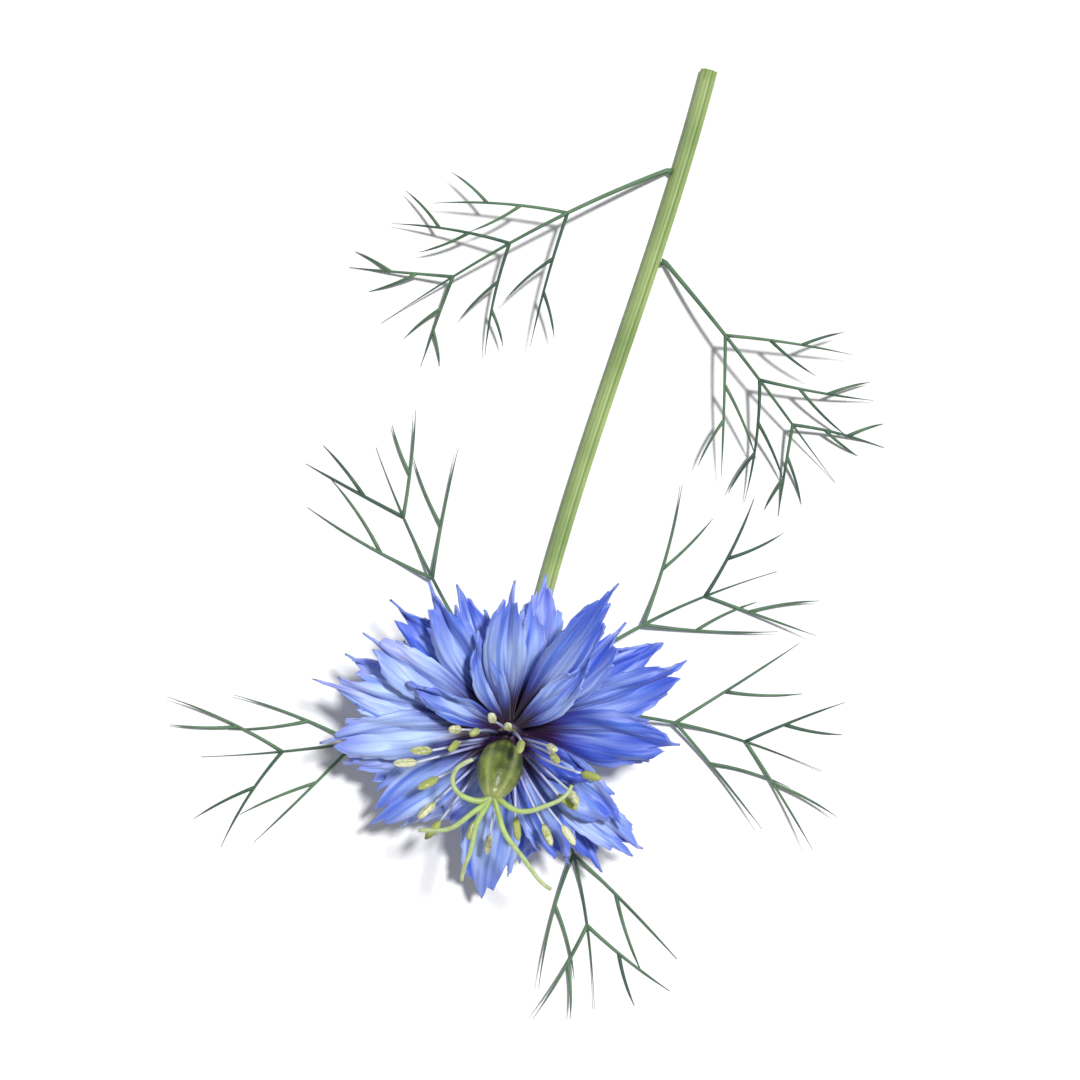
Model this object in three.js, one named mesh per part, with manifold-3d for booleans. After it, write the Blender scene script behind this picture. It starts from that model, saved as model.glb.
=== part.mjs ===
// Love-in-a-mist, Nigella damascena: one cut double flower, lying on a flat surface.
//
// The stem lies along +Y with its underside on z = 0. The origin is on that underside,
// behind the place where the curved neck leaves the surface. The neck lifts the bloom,
// whose face looks up and leans forward, towards -Y. Five thread-like bracts grow out
// under the bloom and come down to the surface round it, and two leaves of the same kind
// grow on the stem. Units are millimetres and degrees.
import * as THREE from "three";
import { mergeVertices } from "three/addons/utils/BufferGeometryUtils.js";
import Module from "manifold-3d";

const wasm = await Module();
wasm.setup();

// ---- Driving dimensions -------------------------------------------------------------

const SURFACE_GAP = 0.3; // between pieces that touch

// Stem
const STEM_RADIUS = 0.98; // on the crest of a rib
const STEM_GROOVE = 0.86; // in the groove between two ribs
const STEM_RIBS = 7;
const STEM_HEIGHT = 0.81; // of the lying axis, low enough to press one crest and groove flat
const STEM_RUN = 56; // from the origin to the cut end
const STEM_FLAT_START = -8; // where the neck leaves the surface
const STEM_SWAY = 3; // how far the lying stem bends to the side
const NECK_LEAN = 28; // of the stem's top from straight up, towards -Y
const NECK_BEND = 11; // radius of the neck's arc
const SEAT_RADIUS = 1.95; // of the swollen stem top that carries the bloom
const SEAT_HEIGHT = 2.4; // length over which the stem swells
// Cross sections: shares of the lying stem from the origin's end, of the neck and of the seat
const LYING_STATIONS = [1, 0.86, 0.72, 0.58, 0.44, 0.3, 0.15, 0];
const NECK_STATIONS = [0.16, 0.34, 0.52, 0.7, 0.87];
const SEAT_STATIONS = [0, 0.5, 1];

// Bloom
// Each sepal: direction, reach seen from above, half width, and place from the outermost
// layer (0) to the innermost (1)
const SEPALS = [
  [6, 17.9, 3.2, 0.0], [16, 18.9, 3.5, 0.5], [33, 21.0, 2.6, 0.25], [47, 19.0, 2.4, 0.05],
  [57, 17.2, 2.4, 0.6], [73, 19.8, 2.2, 0.75], [86, 17.4, 2.6, 0.1], [95, 15.2, 2.5, 0.45],
  [106, 16.7, 2.3, 0.8], [122, 16.7, 2.5, 0.2], [134, 18.3, 2.5, 0.5], [147, 19.1, 2.6, 0.1],
  [159, 19.7, 2.6, 0.65], [170, 20.7, 2.7, 0.15], [180, 22.6, 2.4, 0.4], [194, 21.2, 3.0, 0.5],
  [210, 19.6, 3.0, 0.3], [225, 19.6, 3.3, 0.45], [241, 16.4, 2.5, 0.2], [256, 13.6, 2.1, 0.5],
  [274, 20.7, 3.3, 0.35], [290, 17.4, 2.6, 0.1], [306, 17.0, 2.8, 0.6], [318, 19.4, 2.6, 0.2],
  [328, 21.3, 2.5, 0.45], [340, 16.6, 2.9, 0.8], [58, 12.4, 1.7, 1.0], [118, 11.8, 1.8, 0.95],
  [156, 12.2, 1.7, 1.0], [350, 11.4, 1.7, 1.0],
];
const BLOOM_LEAN = 15; // of the spread sepals from lying level
const SEPAL_SWING = 4; // sepals at the back stand up by this much, and those in front lie back
const SEPAL_BASE_RISE = [18, 42]; // rise of the claw from the bloom's own plane, by layer
const SEPAL_TIP_RISE = [-26, 0];
const SEPAL_ROOTS = [0.5, 2.2]; // height of the claw on the core, by layer
const SEPAL_NARROW = 1.2; // half width of the narrowest sepals, which stay pointed and smooth
const SEPAL_BROAD = 2.6; // half width from which a sepal is fully lobed and lies open
const SEPAL_CLAW = 0.15; // width of the narrow base, as a share of the greatest width
const SEPAL_WIDEST = 0.6; // where a sepal is widest, as a share of its length
const SEPAL_TAPER = 1.6; // how late the width falls beyond the widest place
const SEPAL_TIP = [0.12, 0.34]; // width left at the tip of a narrow and of a broad sepal
const SEPAL_BLUNT = 0.15; // added to it for each millimetre over the broad half width
const SEPAL_CUP = 0.12; // height of the side edges over the midrib, as a share of the half width
const SEPAL_NARROW_CUP = 0.45; // added to the cup for each millimetre under the broad half width
const SEPAL_FOLD = 0.12; // height of the lengthwise folds, as a share of the half width
const SEPAL_THICKNESS = 0.6;
const CORE_SIDES = 10; // of the short cones that the organs grow from
const SEPAL_CORE = { radius: 2.1, top: 1.6, height: 3.8 };
const SEPAL_LOBES = 5; // pointed lobes across the end of a sepal
const SEPAL_SHOULDER = 0.82; // height of the outermost lobes, as a share of the length
const SEPAL_NOTCH = 0.075; // depth of the notches between lobes on a broad sepal, as a share
const SEPAL_CREST = 0.02; // how far the points of the lobes stay under the margin's line
// How far each measure strays from sepal to sepal: degrees for angles, shares for the rest
const SEPAL_STRAY = {
  baseRise: 3, tipRise: 7, twist: 15, sway: 6, cup: 0.08, fold: 0.06, tip: 0.1,
  shoulder: 0.05, aside: 0.18, notch: 0.8, crest: 1, place: 0.06,
};
// Rows of a sepal's grid: share of the length, and spans across
const SEPAL_ROWS = [[0, 2], [0.2, 2], [0.44, 4], [0.7, 8], [1, 8]];

// Stamens
const STAMENS = 21;
const GOLDEN_ANGLE = 137.508; // from each stamen to the next
const STAMEN_CORE = { radius: 1.4, top: 1.2, height: 1.1 };
const FILAMENT_LENGTH = 9;
const FILAMENT_RADIUS = 0.34;
const FILAMENT_FOOT = 1.1; // radius at the root, as a share of the radius above
const FILAMENT_STATIONS = [0, 0.4, 0.75]; // cross sections, as shares of the length
const STAMEN_ROOT = 0.85; // distance of a root from the axis
const STAMEN_ROOTS = [0.45, 0.65]; // height of the lowest and the highest root on the core
const STAMEN_BASE_RISE = 44;
const STAMEN_TIP_RISE = 40;
const STAMEN_SWING = 22; // stamens at the back curve up by this much, and those in front hang down
const STAMEN_BASE_SWING = 0.2; // share of the swing that is there at the base
const STAMEN_STRAY = { length: 0.2, baseRise: 4, tipRise: 11, nod: 20 }; // as for the sepals
const ANTHER_LENGTH = 2.5;
const ANTHER_RADIUS = 0.52;
// Cross sections of an anther: share of its length, and width as a share of the greatest
const ANTHER_PROFILE = [[0, 0.6], [0.2, 1], [0.8, 0.95], [1, 0.5]];

// Pistil
const OVARY_LENGTH = 8;
const OVARY_RADIUS = 2.5;
const CARPELS = 5;
const OVARY_LEAN = [32, 50]; // of its axis from straight up, at the base and at the top
const OVARY_FURROW = 0.14; // depth of the furrows between carpels, as a share of the radius
// Cross sections of the ovary: share of its length, and width as a share of the greatest
const OVARY_PROFILE = [
  [0, 0.34], [0.08, 0.52], [0.25, 0.88], [0.5, 1], [0.72, 0.88], [0.88, 0.6], [1, 0.28],
];
const STYLE_FOOT = 0.93; // place of the styles' feet on the ovary's axis
const STYLE_RADIUS = 0.4;
const STYLE_TIP_RADIUS = 0.3;
// Each style: heading at its foot and how far it swings, length, and slope at foot and tip
const STYLES = [
  { heading: 243, swing: -218, length: 9, from: 14, to: 8 },
  { heading: 248, swing: -52, length: 9.4, from: 16, to: -30 },
  { heading: 254, swing: 24, length: 10.4, from: 16, to: -36 },
  { heading: 297, swing: 38, length: 12.4, from: 14, to: -30 },
  { heading: 326, swing: 112, length: 9.8, from: 18, to: 0 },
];

// Thread-like foliage
const THREAD_RADIUS = 0.36;
const THREAD_TIP_RADIUS = 0.26;
const MIDRIB_FOOT_RADIUS = 0.486;
const THREAD_LIFT = 0.06; // least height of a lying thread's underside
const THREAD_LEVELS = 4; // threads that cross lie at different heights, in this many steps
const FROND_BEND = 14; // greatest bend of a frond's midrib to one side
const SIDE_SHARE = [1.15, 0.55]; // length of side threads at the midrib's foot and at its tip
const FORK_TURN = 36; // of a side thread's forks from its own direction
const FORK_CURL = -0.2; // a fork curls back by this share of its turn
const THREAD_STRAY = { angle: 6, length: 0.12, curl: 9, turn: 8, forkLength: 0.15 };
const BRACT_FOOT = { height: 0.5, out: 1.378 }; // above the neck's end and out from its axis
const BRACT_FLARE = 0.012; // rise of a bract's side threads, times the square of the distance aside
const BRACT_FALL = 0.72; // share of the reach over which a bract comes down to the surface
const BRACT_PATTERN = {
  nodes: [0.5, 0.74],
  segment: 18,
  angle: 38,
  forks: [{ at: 0.4, side: -1, share: 0.55 }],
};
// Each bract: direction seen from above, reach, and seed
const BRACTS = [
  { heading: 312, reach: 33, seed: 11 },
  { heading: 14, reach: 33, seed: 12 },
  { heading: 52, reach: 31, seed: 13 },
  { heading: 142, reach: 31, seed: 14 },
  { heading: 212, reach: 34, seed: 15 },
];
const LEAF_FOOT = { out: 1.53, rise: 0.1 }; // out from the stem's axis and above it
const LEAF_ANGLE = 52; // between a leaf and the stem below it
const LEAF_ARCH = 5; // height of a leaf's arch over the surface
const LEAF_DROOP = 0.01; // fall of a leaf's side threads, times the square of the distance aside
const LEAF_PATTERN = {
  nodes: [0.34, 0.54, 0.74],
  segment: 15,
  angle: 42,
  forks: [{ at: 0.35, side: -1, share: 0.5 }, { at: 0.6, side: 1, share: 0.38 }],
};
// Each leaf: place on the lying stem, side of it, reach, and seed
const LEAVES = [
  { at: 34, side: 1, reach: 31, seed: 21 },
  { at: 44, side: -1, reach: 36, seed: 24 },
];

// ---- Numbers and directions -----------------------------------------------------------

const rad = THREE.MathUtils.degToRad;
const lerp = THREE.MathUtils.lerp;
const vec = (x, y, z) => new THREE.Vector3(x, y, z);
const smooth = (t) => t * t * (3 - 2 * t);

// Repeatable draws from -1 to 1, by the Lehmer sequence.
function draws(seed) {
  let state = seed * 7919 + 1;
  const next = () => {
    state = (state * 16807) % 2147483647;
    return (2 * state) / 2147483647 - 1;
  };
  for (let i = 0; i < 3; i++) next();
  return next;
}

// Side, back and up directions of a head that leans forward from straight up.
function headAxes(lean) {
  const a = rad(lean);
  return {
    side: vec(1, 0, 0),
    back: vec(0, Math.cos(a), Math.sin(a)),
    up: vec(0, -Math.sin(a), Math.cos(a)),
  };
}

// The direction round a head at an azimuth, counted from its side towards its back.
const outward = (axes, azimuth) =>
  axes.side.clone().multiplyScalar(Math.cos(azimuth)).addScaledVector(axes.back, Math.sin(azimuth));

// A point at share s of an arc that starts at slope `from` and ends at slope `to`.
function arc(length, from, to, s) {
  const now = lerp(from, to, s);
  return {
    out: (length * (Math.sin(now) - Math.sin(from))) / (to - from),
    rise: (length * (Math.cos(from) - Math.cos(now))) / (to - from),
    slope: now,
  };
}

// ---- Solids ---------------------------------------------------------------------------

// A closed solid from corner points and triangles.
function solid(points, faces) {
  const position = new Float32Array(points.flatMap((p) => [p.x, p.y, p.z]));
  const loose = new THREE.BufferGeometry();
  loose.setAttribute("position", new THREE.BufferAttribute(position, 3));
  loose.setIndex(faces.flat());
  const merged = mergeVertices(loose, 1e-5);
  return new wasm.Manifold(new wasm.Mesh({
    numProp: 3,
    vertProperties: merged.attributes.position.array,
    triVerts: new Uint32Array(merged.index.array),
  }));
}

// The union of several solids.
const fuse = (solids) => solids.reduce((all, one) => all.add(one));

// A closed skin over rings with equal numbers of points, which run anticlockwise as seen
// from the last ring.
function skin(rings) {
  const n = rings[0].length;
  const points = rings.flat();
  const faces = [];
  for (let i = 0; i + 1 < rings.length; i++) {
    for (let j = 0; j < n; j++) {
      const a = i * n + j;
      const b = i * n + ((j + 1) % n);
      faces.push([a, b, b + n], [a, b + n, a + n]);
    }
  }
  const centre = (ring) => ring.reduce((sum, p) => sum.add(p), vec(0, 0, 0)).divideScalar(n);
  if (n < 5) {
    const last = points.length - n;
    for (let j = 1; j + 1 < n; j++) faces.push([0, j + 1, j], [last, last + j, last + j + 1]);
    return solid(points, faces);
  }
  const foot = points.push(centre(rings[0])) - 1;
  const head = points.push(centre(rings.at(-1))) - 1;
  const top = (rings.length - 1) * n;
  for (let j = 0; j < n; j++) {
    const k = (j + 1) % n;
    faces.push([foot, k, j], [head, top + j, top + k]);
  }
  return solid(points, faces);
}

// Directions across a path at each of its points: carried along it without twisting.
function frames(path, firstUp) {
  let up = firstUp.clone();
  return path.map((p, i) => {
    const next = path[Math.min(i + 1, path.length - 1)];
    const along = next.clone().sub(path[Math.max(i - 1, 0)]).normalize();
    up = up.clone().addScaledVector(along, -up.dot(along)).normalize();
    return { along, up, side: vec(0, 0, 0).crossVectors(along, up) };
  });
}

// A tube along a path, with a radius at each point.
function tube(path, radii, sides, firstUp = vec(0, 0, 1)) {
  const across = frames(path, firstUp);
  const rings = path.map((p, i) =>
    Array.from({ length: sides }, (_, j) => {
      const turn = (2 * Math.PI * j) / sides;
      return p.clone()
        .addScaledVector(across[i].up, radii[i] * Math.cos(turn))
        .addScaledVector(across[i].side, radii[i] * Math.sin(turn));
    }));
  return skin(rings);
}

// A short cone along a head's axis that organs grow from.
function core(foot, axes, { radius, top, height }) {
  const head = foot.clone().addScaledVector(axes.up, height);
  return tube([foot, head], [radius, top], CORE_SIDES, axes.back);
}

// A thin blade over a grid of { point, normal } rows, split alike on both faces.
function blade(rows, thickness) {
  const grid = rows.flat();
  const n = grid.length;
  const points = [1, -1].flatMap((face) =>
    grid.map((g) => g.point.clone().addScaledVector(g.normal, (face * thickness) / 2)));
  const numbers = grid.map((_, i) => i);
  const numbered = rows.map((row) => numbers.splice(0, row.length));
  const faces = [];
  for (let i = 0; i + 1 < numbered.length; i++) {
    for (const [a, b, c] of strip(numbered[i], numbered[i + 1])) {
      faces.push([a, b, c], [n + a, n + c, n + b]);
    }
  }
  const rim = rimOf(numbered);
  rim.forEach((a, i) => {
    const b = rim[(i + 1) % rim.length];
    faces.push([a, n + a, n + b], [a, n + b, b]);
  });
  return solid(points, faces);
}

// Triangles between two rows of point numbers, which may differ in length.
function strip(low, high) {
  const faces = [];
  let a = 0;
  let b = 0;
  while (a + 1 < low.length || b + 1 < high.length) {
    const lowNext = (a + 1) / (low.length - 1);
    const highNext = (b + 1) / (high.length - 1);
    if (b + 1 === high.length || (a + 1 < low.length && lowNext <= highNext)) {
      faces.push([low[a], low[a + 1], high[b]]);
      a++;
    } else {
      faces.push([low[a], high[b + 1], high[b]]);
      b++;
    }
  }
  return faces;
}

// Point numbers round the edge of a grid of rows: foot, right side, tip and left side.
function rimOf(rows) {
  const between = rows.slice(1, -1);
  const right = between.map((row) => row.at(-1));
  const left = between.map((row) => row[0]).reverse();
  return [...rows[0], ...right, ...rows.at(-1).toReversed(), ...left];
}

// ---- Stem -----------------------------------------------------------------------------

const neckAxes = headAxes(NECK_LEAN);

// The lying stem bends gently to the side on its way to the cut end.
function stemAt(y) {
  const share = (y - STEM_FLAT_START) / (STEM_RUN - STEM_FLAT_START);
  return vec((STEM_SWAY * (1 - Math.cos(Math.PI * share))) / 2, y, STEM_HEIGHT);
}

// The neck's arc, at an angle from where it leaves the surface.
const neckAt = (angle) =>
  vec(0, -Math.sin(angle), 1 - Math.cos(angle))
    .multiplyScalar(NECK_BEND)
    .add(vec(0, STEM_FLAT_START, STEM_HEIGHT));

const NECK_TURN = rad(90 - NECK_LEAN);
const neckTop = neckAt(NECK_TURN);

// Points of the axis from the cut end to the bloom's seat, with the radius at each.
function stemAxis() {
  const lying = LYING_STATIONS.map((s) => ({
    at: stemAt(lerp(STEM_FLAT_START, STEM_RUN, s)),
    swell: 1,
  }));
  const neck = NECK_STATIONS.map((s) => ({ at: neckAt(s * NECK_TURN), swell: 1 }));
  const seat = SEAT_STATIONS.map((s) => ({
    at: neckTop.clone().addScaledVector(neckAxes.up, s * SEAT_HEIGHT),
    swell: lerp(1, SEAT_RADIUS / STEM_RADIUS, smooth(s)),
  }));
  return [...lying, ...neck, ...seat];
}

function stemSolid() {
  const axis = stemAxis();
  const across = frames(axis.map((a) => a.at), vec(0, 0, 1));
  const corners = 2 * STEM_RIBS;
  const rings = axis.map(({ at, swell }, i) =>
    Array.from({ length: corners }, (_, j) => {
      const radius = swell * (j % 2 ? STEM_GROOVE : STEM_RADIUS);
      const turn = (2 * Math.PI * (j + 0.5)) / corners;
      const p = at.clone()
        .addScaledVector(across[i].up, radius * Math.cos(turn))
        .addScaledVector(across[i].side, radius * Math.sin(turn));
      return p.setZ(Math.max(p.z, 0));
    }));
  return skin(rings);
}

// ---- Bloom ----------------------------------------------------------------------------

const bloomAxes = headAxes(BLOOM_LEAN);
const seatTop = neckTop.clone().addScaledVector(neckAxes.up, SEAT_HEIGHT);
const sepalFoot = seatTop.clone().addScaledVector(neckAxes.up, SURFACE_GAP);
const stamenFoot = sepalFoot.clone()
  .addScaledVector(neckAxes.up, SEPAL_CORE.height + SURFACE_GAP);
const pistilFoot = stamenFoot.clone()
  .addScaledVector(neckAxes.up, STAMEN_CORE.height + SURFACE_GAP);

// The measures of one sepal.
function sepal([heading, reach, half, inner], index) {
  const draw = draws(100 + index);
  const stray = (name) => SEPAL_STRAY[name] * draw();
  const azimuth = rad(heading);
  const swing = rad(SEPAL_SWING) * Math.sin(azimuth);
  const from = rad(lerp(...SEPAL_BASE_RISE, inner) + stray("baseRise")) + swing;
  const to = rad(lerp(...SEPAL_TIP_RISE, inner) + stray("tipRise")) + swing;
  const level = (from + to) / 2 + rad(BLOOM_LEAN) * Math.sin(azimuth);
  const breadth = Math.min((half - SEPAL_NARROW) / (SEPAL_BROAD - SEPAL_NARROW), 1);
  const narrowCup = SEPAL_NARROW_CUP * Math.max(SEPAL_BROAD - half, 0);
  const blunt = SEPAL_BLUNT * Math.max(half - SEPAL_BROAD, 0);
  return {
    azimuth,
    root: sepalFoot.clone().addScaledVector(neckAxes.up, lerp(...SEPAL_ROOTS, inner)),
    length: reach / Math.cos(level),
    half,
    from,
    to,
    twist: rad(stray("twist")),
    sway: rad(stray("sway")),
    cup: SEPAL_CUP + narrowCup + stray("cup"),
    fold: SEPAL_FOLD + stray("fold"),
    tip: lerp(...SEPAL_TIP, breadth) + blunt + stray("tip"),
    ...sepalMargin(SEPAL_NOTCH * breadth, stray),
  };
}

// Lobes and notches across a sepal's end: the margin's height at each, and their places
// from -1 to 1.
function sepalMargin(notch, stray) {
  const even = Array.from({ length: 2 * SEPAL_LOBES - 1 }, (_, j) => j / (SEPAL_LOBES - 1) - 1);
  const shoulder = SEPAL_SHOULDER + stray("shoulder");
  const aside = stray("aside");
  return {
    margin: even.map((c, j) => {
      const dip = j % 2 ? notch * (1 + stray("notch")) : SEPAL_CREST * (1 + stray("crest"));
      return lerp(1, shoulder, Math.abs(c)) - dip;
    }),
    places: even.map((c) => c + (aside + stray("place")) * (1 - c * c)),
  };
}

// Half width at share t of the length, as a share of the greatest, for a width left at the tip.
function sepalWidth(t, tip) {
  if (t < SEPAL_WIDEST) return lerp(SEPAL_CLAW, 1, smooth(t / SEPAL_WIDEST));
  return 1 - (1 - tip) * ((t - SEPAL_WIDEST) / (1 - SEPAL_WIDEST)) ** SEPAL_TAPER;
}

// The value at share u along a row of evenly spaced values.
function along(values, u) {
  const place = u * (values.length - 1);
  const i = Math.min(Math.floor(place), values.length - 2);
  return lerp(values[i], values[i + 1], place - i);
}

// A point on a sepal's middle surface: s from claw to margin, u from 0 to 1 across.
function sepalPoint(one, s, u) {
  const c = along(one.places, u);
  const t = s * along(one.margin, u);
  const at = arc(one.length, one.from, one.to, t);
  const azimuth = one.azimuth + one.sway * t * t;
  const out = outward(bloomAxes, azimuth);
  const side = outward(bloomAxes, azimuth + Math.PI / 2);
  const face = bloomAxes.up.clone()
    .multiplyScalar(Math.cos(at.slope))
    .addScaledVector(out, -Math.sin(at.slope));
  const width = one.half * sepalWidth(t, one.tip);
  const x = c * width;
  const z = width * (one.cup * c * c - one.fold * Math.cos(2 * Math.PI * c) * t);
  const twist = one.twist * t;
  return one.root.clone()
    .addScaledVector(out, at.out)
    .addScaledVector(bloomAxes.up, at.rise)
    .addScaledVector(side, x * Math.cos(twist) - z * Math.sin(twist))
    .addScaledVector(face, x * Math.sin(twist) + z * Math.cos(twist));
}

// The blade's direction of thickness at a grid point.
function sepalNormal(one, s, u) {
  const step = 0.01;
  const upwards = sepalPoint(one, s + 2 * step, u).sub(sepalPoint(one, s - 2 * step, u));
  const right = sepalPoint(one, s, Math.min(u + step, 1));
  const across = right.sub(sepalPoint(one, s, Math.max(u - step, 0)));
  return across.cross(upwards).normalize();
}

function sepalSolid(measures, index) {
  const one = sepal(measures, index);
  const rows = SEPAL_ROWS.map(([s, spans]) =>
    Array.from({ length: spans + 1 }, (_, j) => {
      const u = j / spans;
      return { point: sepalPoint(one, s, u), normal: sepalNormal(one, s, u) };
    }));
  return blade(rows, SEPAL_THICKNESS);
}

function sepalsSolid() {
  return fuse([core(sepalFoot, neckAxes, SEPAL_CORE), ...SEPALS.map(sepalSolid)]);
}

// ---- Stamens --------------------------------------------------------------------------

// The measures of one stamen, counted from the lowest on the core upwards.
function stamen(index) {
  const draw = draws(300 + index);
  const azimuth = rad(GOLDEN_ANGLE * index);
  const swing = rad(STAMEN_SWING) * Math.sin(azimuth);
  const height = lerp(...STAMEN_ROOTS, index / (STAMENS - 1));
  return {
    azimuth,
    root: stamenFoot.clone().addScaledVector(neckAxes.up, height),
    length: FILAMENT_LENGTH * (1 + STAMEN_STRAY.length * draw()),
    from: rad(STAMEN_BASE_RISE + STAMEN_STRAY.baseRise * draw())
      + STAMEN_BASE_SWING * swing,
    to: rad(STAMEN_TIP_RISE + STAMEN_STRAY.tipRise * draw()) + swing,
    nod: rad(STAMEN_STRAY.nod * draw()),
  };
}

// A point at share s of a filament, or of the straight anther that follows it when s is over 1.
function stamenPoint(one, s) {
  const at = arc(one.length, one.from, one.to, Math.min(s, 1));
  const beyond = Math.max(s - 1, 0) * one.length;
  const slope = one.to + one.nod;
  const out = STAMEN_ROOT + at.out + beyond * Math.cos(slope);
  const rise = at.rise + beyond * Math.sin(slope);
  return one.root.clone()
    .addScaledVector(outward(neckAxes, one.azimuth), out)
    .addScaledVector(neckAxes.up, rise);
}

function stamenSolid(index) {
  const one = stamen(index);
  const share = ANTHER_LENGTH / one.length;
  const stations = [...FILAMENT_STATIONS, ...ANTHER_PROFILE.map(([s]) => 1 + s * share)];
  const filament = FILAMENT_STATIONS.map((s) => FILAMENT_RADIUS * (s ? 1 : FILAMENT_FOOT));
  const anther = ANTHER_PROFILE.map(([, width]) => width * ANTHER_RADIUS);
  const radii = [...filament, ...anther];
  return tube(stations.map((s) => stamenPoint(one, s)), radii, 4, neckAxes.up);
}

function stamensSolid() {
  const all = Array.from({ length: STAMENS }, (_, i) => stamenSolid(i));
  return fuse([core(stamenFoot, neckAxes, STAMEN_CORE), ...all]);
}

// ---- Pistil ---------------------------------------------------------------------------

// A point on the ovary's axis at share s, and the axes of the head there.
function ovaryAxis(s) {
  const [from, to] = OVARY_LEAN.map((lean) => rad(90 - lean));
  const at = arc(OVARY_LENGTH, from, to, s);
  return {
    at: pistilFoot.clone().add(vec(0, -at.out, at.rise)),
    axes: headAxes(90 - THREE.MathUtils.radToDeg(at.slope)),
  };
}

function ovarySolid() {
  const corners = 4 * CARPELS;
  return skin(OVARY_PROFILE.map(([s, width]) => {
    const { at, axes } = ovaryAxis(s);
    return Array.from({ length: corners }, (_, j) => {
      const turn = (2 * Math.PI * j) / corners;
      const lobe = 1 - (OVARY_FURROW * (1 - Math.cos(CARPELS * turn))) / 2;
      return at.clone().addScaledVector(outward(axes, turn + rad(90)), OVARY_RADIUS * width * lobe);
    });
  }));
}

// Each style leaves the ovary's top outwards, turns aside evenly and curls over. It is
// followed in short steps, and every fourth point is kept.
function stylePath({ heading, swing, length, from, to }) {
  const level = headAxes(0);
  const steps = 28;
  const path = [ovaryAxis(STYLE_FOOT).at];
  for (let i = 0; i < steps; i++) {
    const s = (i + 0.5) / steps;
    const slope = rad(lerp(from, to, s));
    const out = outward(level, rad(heading + swing * s));
    const step = out.multiplyScalar(Math.cos(slope)).addScaledVector(level.up, Math.sin(slope));
    path.push(path[i].clone().addScaledVector(step, length / steps));
  }
  return path.filter((_, i) => i % 4 === 0);
}

function pistilSolid() {
  const styles = STYLES.map((style) => {
    const path = stylePath(style);
    const taper = (_, j) => lerp(STYLE_RADIUS, STYLE_TIP_RADIUS, j / (path.length - 1));
    return tube(path, path.map(taper), 4);
  });
  return fuse([ovarySolid(), ...styles]);
}

// ---- Thread-like foliage ----------------------------------------------------------------

// The threads of a frond on a flat pattern. Each has a number of stations, its radius at
// both ends, and a function that gives its [along, across] place at a share of its length.
function frondPattern({ reach, seed, nodes, segment, angle, forks }) {
  const draw = draws(seed);
  const bend = rad(FROND_BEND * draw());
  const midrib = (s) => [reach * s, reach * bend * s * s];
  const threads = [{ stations: 7, at: midrib, from: MIDRIB_FOOT_RADIUS, to: THREAD_TIP_RADIUS }];
  const grow = (start, heading, curl, length, stations) => {
    const at = (s) => [
      start[0] + length * s * Math.cos(heading + curl * s),
      start[1] + length * s * Math.sin(heading + curl * s),
    ];
    threads.push({ stations, at, from: THREAD_RADIUS, to: THREAD_TIP_RADIUS });
    return at;
  };
  for (const node of nodes) {
    for (const side of [-1, 1]) {
      const heading = 2 * bend * node + side * rad(angle + THREAD_STRAY.angle * draw());
      const length = segment * lerp(...SIDE_SHARE, node) * (1 + THREAD_STRAY.length * draw());
      const curl = side * rad(THREAD_STRAY.curl * draw());
      const at = grow(midrib(node), heading, curl, length, 4);
      for (const fork of forks) {
        const turn = fork.side * side * rad(FORK_TURN + THREAD_STRAY.turn * draw());
        const forkLength = length * fork.share * (1 + THREAD_STRAY.forkLength * draw());
        grow(at(fork.at), heading + curl * fork.at + turn, FORK_CURL * turn, forkLength, 3);
      }
    }
  }
  return threads;
}

// A frond's solid: its flat pattern laid over a shape that gives each pattern point its place.
function frondSolid(frond, lay) {
  return fuse(frondPattern(frond).map(({ stations, at, from, to }, order) => {
    const shares = Array.from({ length: stations }, (_, i) => i / (stations - 1));
    const clear = THREAD_LIFT * (1 + (order % THREAD_LEVELS) / (THREAD_LEVELS - 1));
    const path = shares.map((s) => {
      const p = lay(...at(s));
      return p.setZ(Math.max(p.z, lerp(from, to, s) / 2 + clear));
    });
    return tube(path, shares.map((s) => lerp(from, to, s)), 3);
  }));
}

// A bract starts on the side of the stem's top, and comes down to the surface.
function bractSolid({ heading, reach, seed }) {
  const azimuth = rad(heading);
  const start = neckTop.clone()
    .addScaledVector(neckAxes.up, BRACT_FOOT.height)
    .addScaledVector(outward(neckAxes, azimuth), BRACT_FOOT.out);
  const ahead = vec(Math.cos(azimuth), Math.sin(azimuth), 0);
  const aside = vec(-Math.sin(azimuth), Math.cos(azimuth), 0);
  const lay = (along, across) => {
    const fall = smooth(Math.min(along / (BRACT_FALL * reach), 1));
    return start.clone().addScaledVector(ahead, along).addScaledVector(aside, across)
      .setZ(lerp(start.z, 0, fall) + BRACT_FLARE * across * across);
  };
  return frondSolid({ reach, seed, ...BRACT_PATTERN }, lay);
}

// A leaf starts on the stem's flank, arches up and comes down to the surface.
function leafSolid({ at, side, reach, seed }) {
  const azimuth = rad(-90 + side * LEAF_ANGLE);
  const ahead = vec(Math.cos(azimuth), Math.sin(azimuth), 0);
  const aside = vec(-Math.sin(azimuth), Math.cos(azimuth), 0);
  const start = stemAt(at).add(vec(side * LEAF_FOOT.out, 0, LEAF_FOOT.rise));
  const lay = (along, across) => {
    const s = Math.min(along / reach, 1);
    const height = start.z * (1 - s) + LEAF_ARCH * Math.sin(Math.PI * s) * (1 - s / 2);
    return start.clone().addScaledVector(ahead, along).addScaledVector(aside, across)
      .setZ(height - LEAF_DROOP * across * across);
  };
  return frondSolid({ reach, seed, ...LEAF_PATTERN }, lay);
}

// ---- Assembly -------------------------------------------------------------------------

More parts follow.
